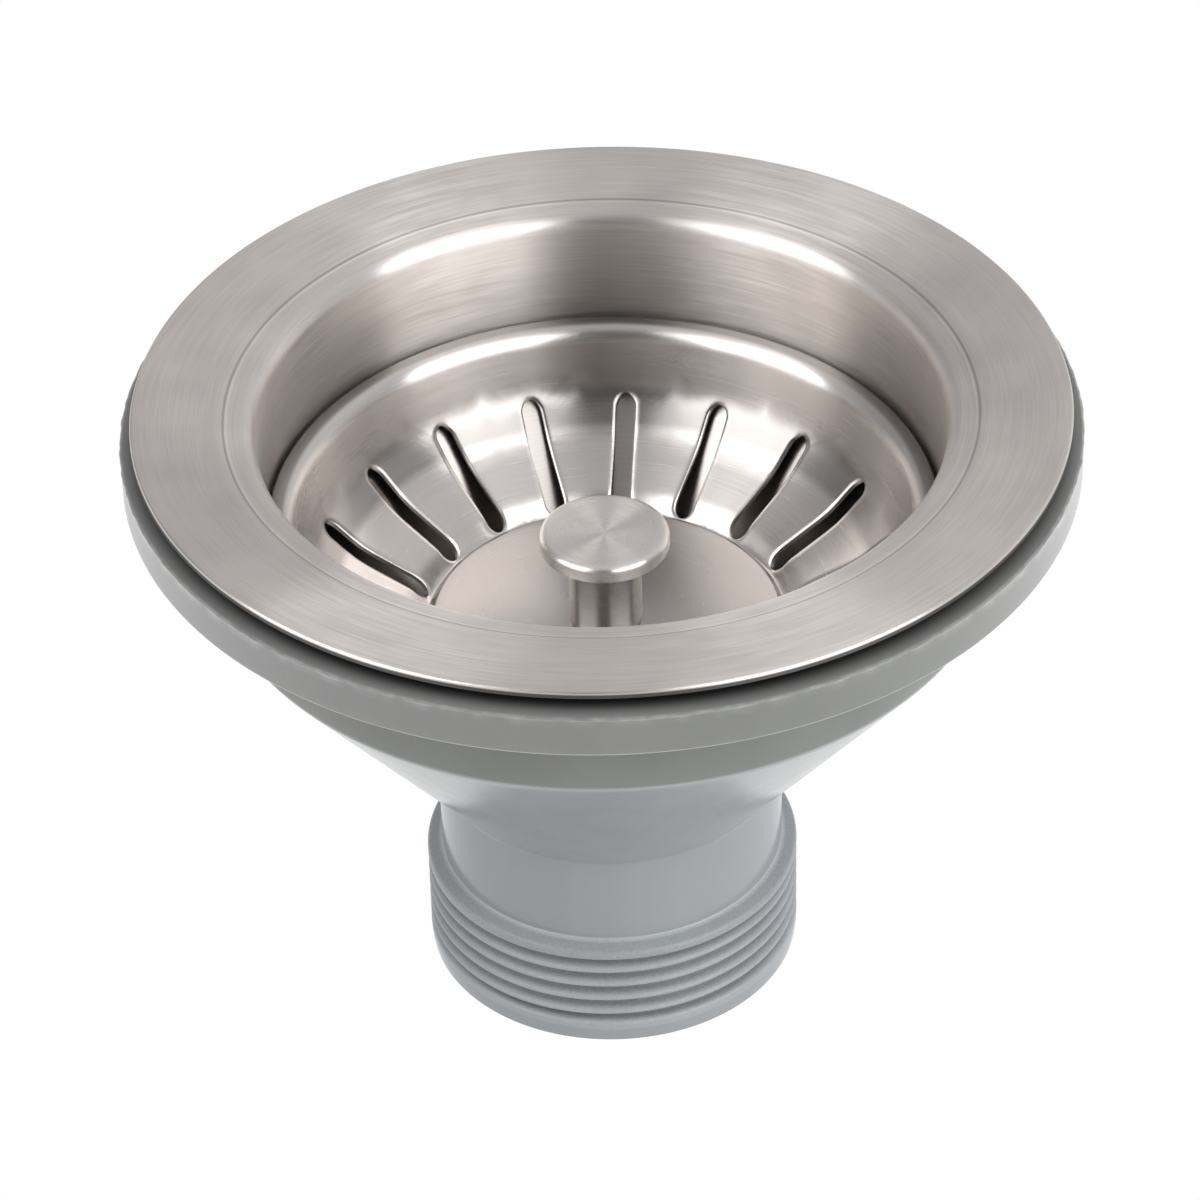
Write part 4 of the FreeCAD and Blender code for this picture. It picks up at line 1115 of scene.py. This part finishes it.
def add_camera(scene, settings):
    """The photograph's camera. It looks at the flange's centre from the front, is rolled
    about its axis, and is then turned a little so that the centre falls where it is seen."""
    centre = Vector((0.0, 0.0, WASTE_TOP * MM))
    towards_lens = Vector(from_angles(-0.5 * math.pi, settings.camera_elevation))
    offset = settings.camera_distance * towards_lens
    forward = -offset.normalized()
    right = forward.cross(Vector((0.0, 0.0, 1.0))).normalized()
    towards = Matrix((right, right.cross(forward), forward))
    rolled = Matrix.Rotation(-settings.camera_roll, 3, "Z")
    across, down = ((seen - 0.5 * PICTURE) / FOCAL for seen in SEEN_AT)
    ray = Vector((across, -down, 1.0)).normalized()
    nudge = Vector((0.0, 0.0, 1.0)).rotation_difference(ray).to_matrix()
    right, up, forward = nudge @ rolled @ towards
    data = bpy.data.cameras.new("camera")
    data.sensor_width = 36.0
    data.lens = data.sensor_width * FOCAL / PICTURE
    data.clip_start = 0.01
    data.clip_end = 50.0
    camera = bpy.data.objects.new("camera", data)
    scene.collection.objects.link(camera)
    axes = Matrix((right, up, -forward)).transposed()
    camera.matrix_world = Matrix.Translation(centre + offset) @ axes.to_4x4()
    scene.camera = camera


class WASTE_OT_bowl(bpy.types.Operator):
    """Builds the steel flange and bowl with the drain windows in its sump."""

    bl_idname = "waste.add_bowl"
    bl_label = "Flange and bowl"

    def execute(self, context):
        build_bowl(sizes(context.scene.waste_bowl), context.scene.waste_finishes)
        return {"FINISHED"}


class WASTE_OT_basket(bpy.types.Operator):
    """Builds the pressed basket with its rolled rim, slots, gutter and floor."""

    bl_idname = "waste.add_basket"
    bl_label = "Basket"

    def execute(self, context):
        build_basket(sizes(context.scene.waste_basket), context.scene.waste_finishes)
        return {"FINISHED"}


class WASTE_OT_knob(bpy.types.Operator):
    """Builds the knob and the stem that carries it."""

    bl_idname = "waste.add_knob"
    bl_label = "Knob and stem"

    def execute(self, context):
        build_knob(sizes(context.scene.waste_knob), context.scene.waste_finishes)
        return {"FINISHED"}


class WASTE_OT_seals(bpy.types.Operator):
    """Builds the thick ring, the thin seal, the stopper and the spigot's ring."""

    bl_idname = "waste.add_seals"
    bl_label = "Seals and stopper"

    def execute(self, context):
        build_seals(sizes(context.scene.waste_seals), context.scene.waste_finishes)
        return {"FINISHED"}


class WASTE_OT_body(bpy.types.Operator):
    """Builds the grey plastic body with its cone, neck, threaded collar, boss and ribs."""

    bl_idname = "waste.add_body"
    bl_label = "Plastic body"

    def execute(self, context):
        build_body(sizes(context.scene.waste_body), context.scene.waste_finishes)
        return {"FINISHED"}


class WASTE_OT_fixings(bpy.types.Operator):
    """Builds the washer, nut and retainer, and finishes the slotted screw and the spigot."""

    bl_idname = "waste.add_fixings"
    bl_label = "Fixings"

    def execute(self, context):
        build_fixings(sizes(context.scene.waste_fixings), context.scene.waste_finishes)
        return {"FINISHED"}


class WASTE_OT_stage(bpy.types.Operator):
    """Sets up the floor, the lamps, the pale surroundings and the camera."""

    bl_idname = "waste.add_stage"
    bl_label = "Studio"

    def execute(self, context):
        scene = context.scene
        settings = scene.waste_stage
        add_floor(settings.floor_radius / MM)
        add_world(scene, settings.room_strength)
        add_lamps(scene, settings)
        add_camera(scene, settings)
        scene.view_settings.view_transform = "Standard"
        return {"FINISHED"}


class WASTE_PT_panel(bpy.types.Panel):
    """Lists the buttons that build each group of pieces, with the sizes that each one reads."""

    bl_label = "Basket strainer waste"
    bl_space_type = "VIEW_3D"
    bl_region_type = "UI"
    bl_category = "Waste"

    def draw(self, context):
        for operator, group in BUTTONS:
            box = self.layout.box()
            box.operator(operator.bl_idname)
            settings = getattr(context.scene, group)
            for key in settings.__annotations__:
                box.prop(settings, key)


BUTTONS = (
    (WASTE_OT_bowl, "waste_bowl"),
    (WASTE_OT_basket, "waste_basket"),
    (WASTE_OT_knob, "waste_knob"),
    (WASTE_OT_seals, "waste_seals"),
    (WASTE_OT_body, "waste_body"),
    (WASTE_OT_fixings, "waste_fixings"),
    (WASTE_OT_stage, "waste_stage"),
)

GROUPS = (
    ("waste_bowl", BowlSizes),
    ("waste_basket", BasketSizes),
    ("waste_knob", KnobSizes),
    ("waste_seals", SealSizes),
    ("waste_body", BodySizes),
    ("waste_fixings", FixingSizes),
    ("waste_finishes", Finishes),
    ("waste_stage", StageSettings),
)


def register():
    """Makes the groups, the operators and the panel known to Blender."""
    for name, group in GROUPS:
        bpy.utils.register_class(group)
        setattr(bpy.types.Scene, name, bpy.props.PointerProperty(type=group))
    for operator, _ in BUTTONS:
        bpy.utils.register_class(operator)
    bpy.utils.register_class(WASTE_PT_panel)


def unregister():
    """Takes back what register did, in the opposite order."""
    bpy.utils.unregister_class(WASTE_PT_panel)
    for operator, _ in reversed(BUTTONS):
        bpy.utils.unregister_class(operator)
    for name, group in reversed(GROUPS):
        delattr(bpy.types.Scene, name)
        bpy.utils.unregister_class(group)


def main():
    """Registers the add-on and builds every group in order."""
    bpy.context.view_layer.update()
    register()
    bpy.ops.waste.add_bowl()
    bpy.ops.waste.add_basket()
    bpy.ops.waste.add_knob()
    bpy.ops.waste.add_seals()
    bpy.ops.waste.add_body()
    bpy.ops.waste.add_fixings()
    bpy.ops.waste.add_stage()


if __name__ == "__main__":
    main()
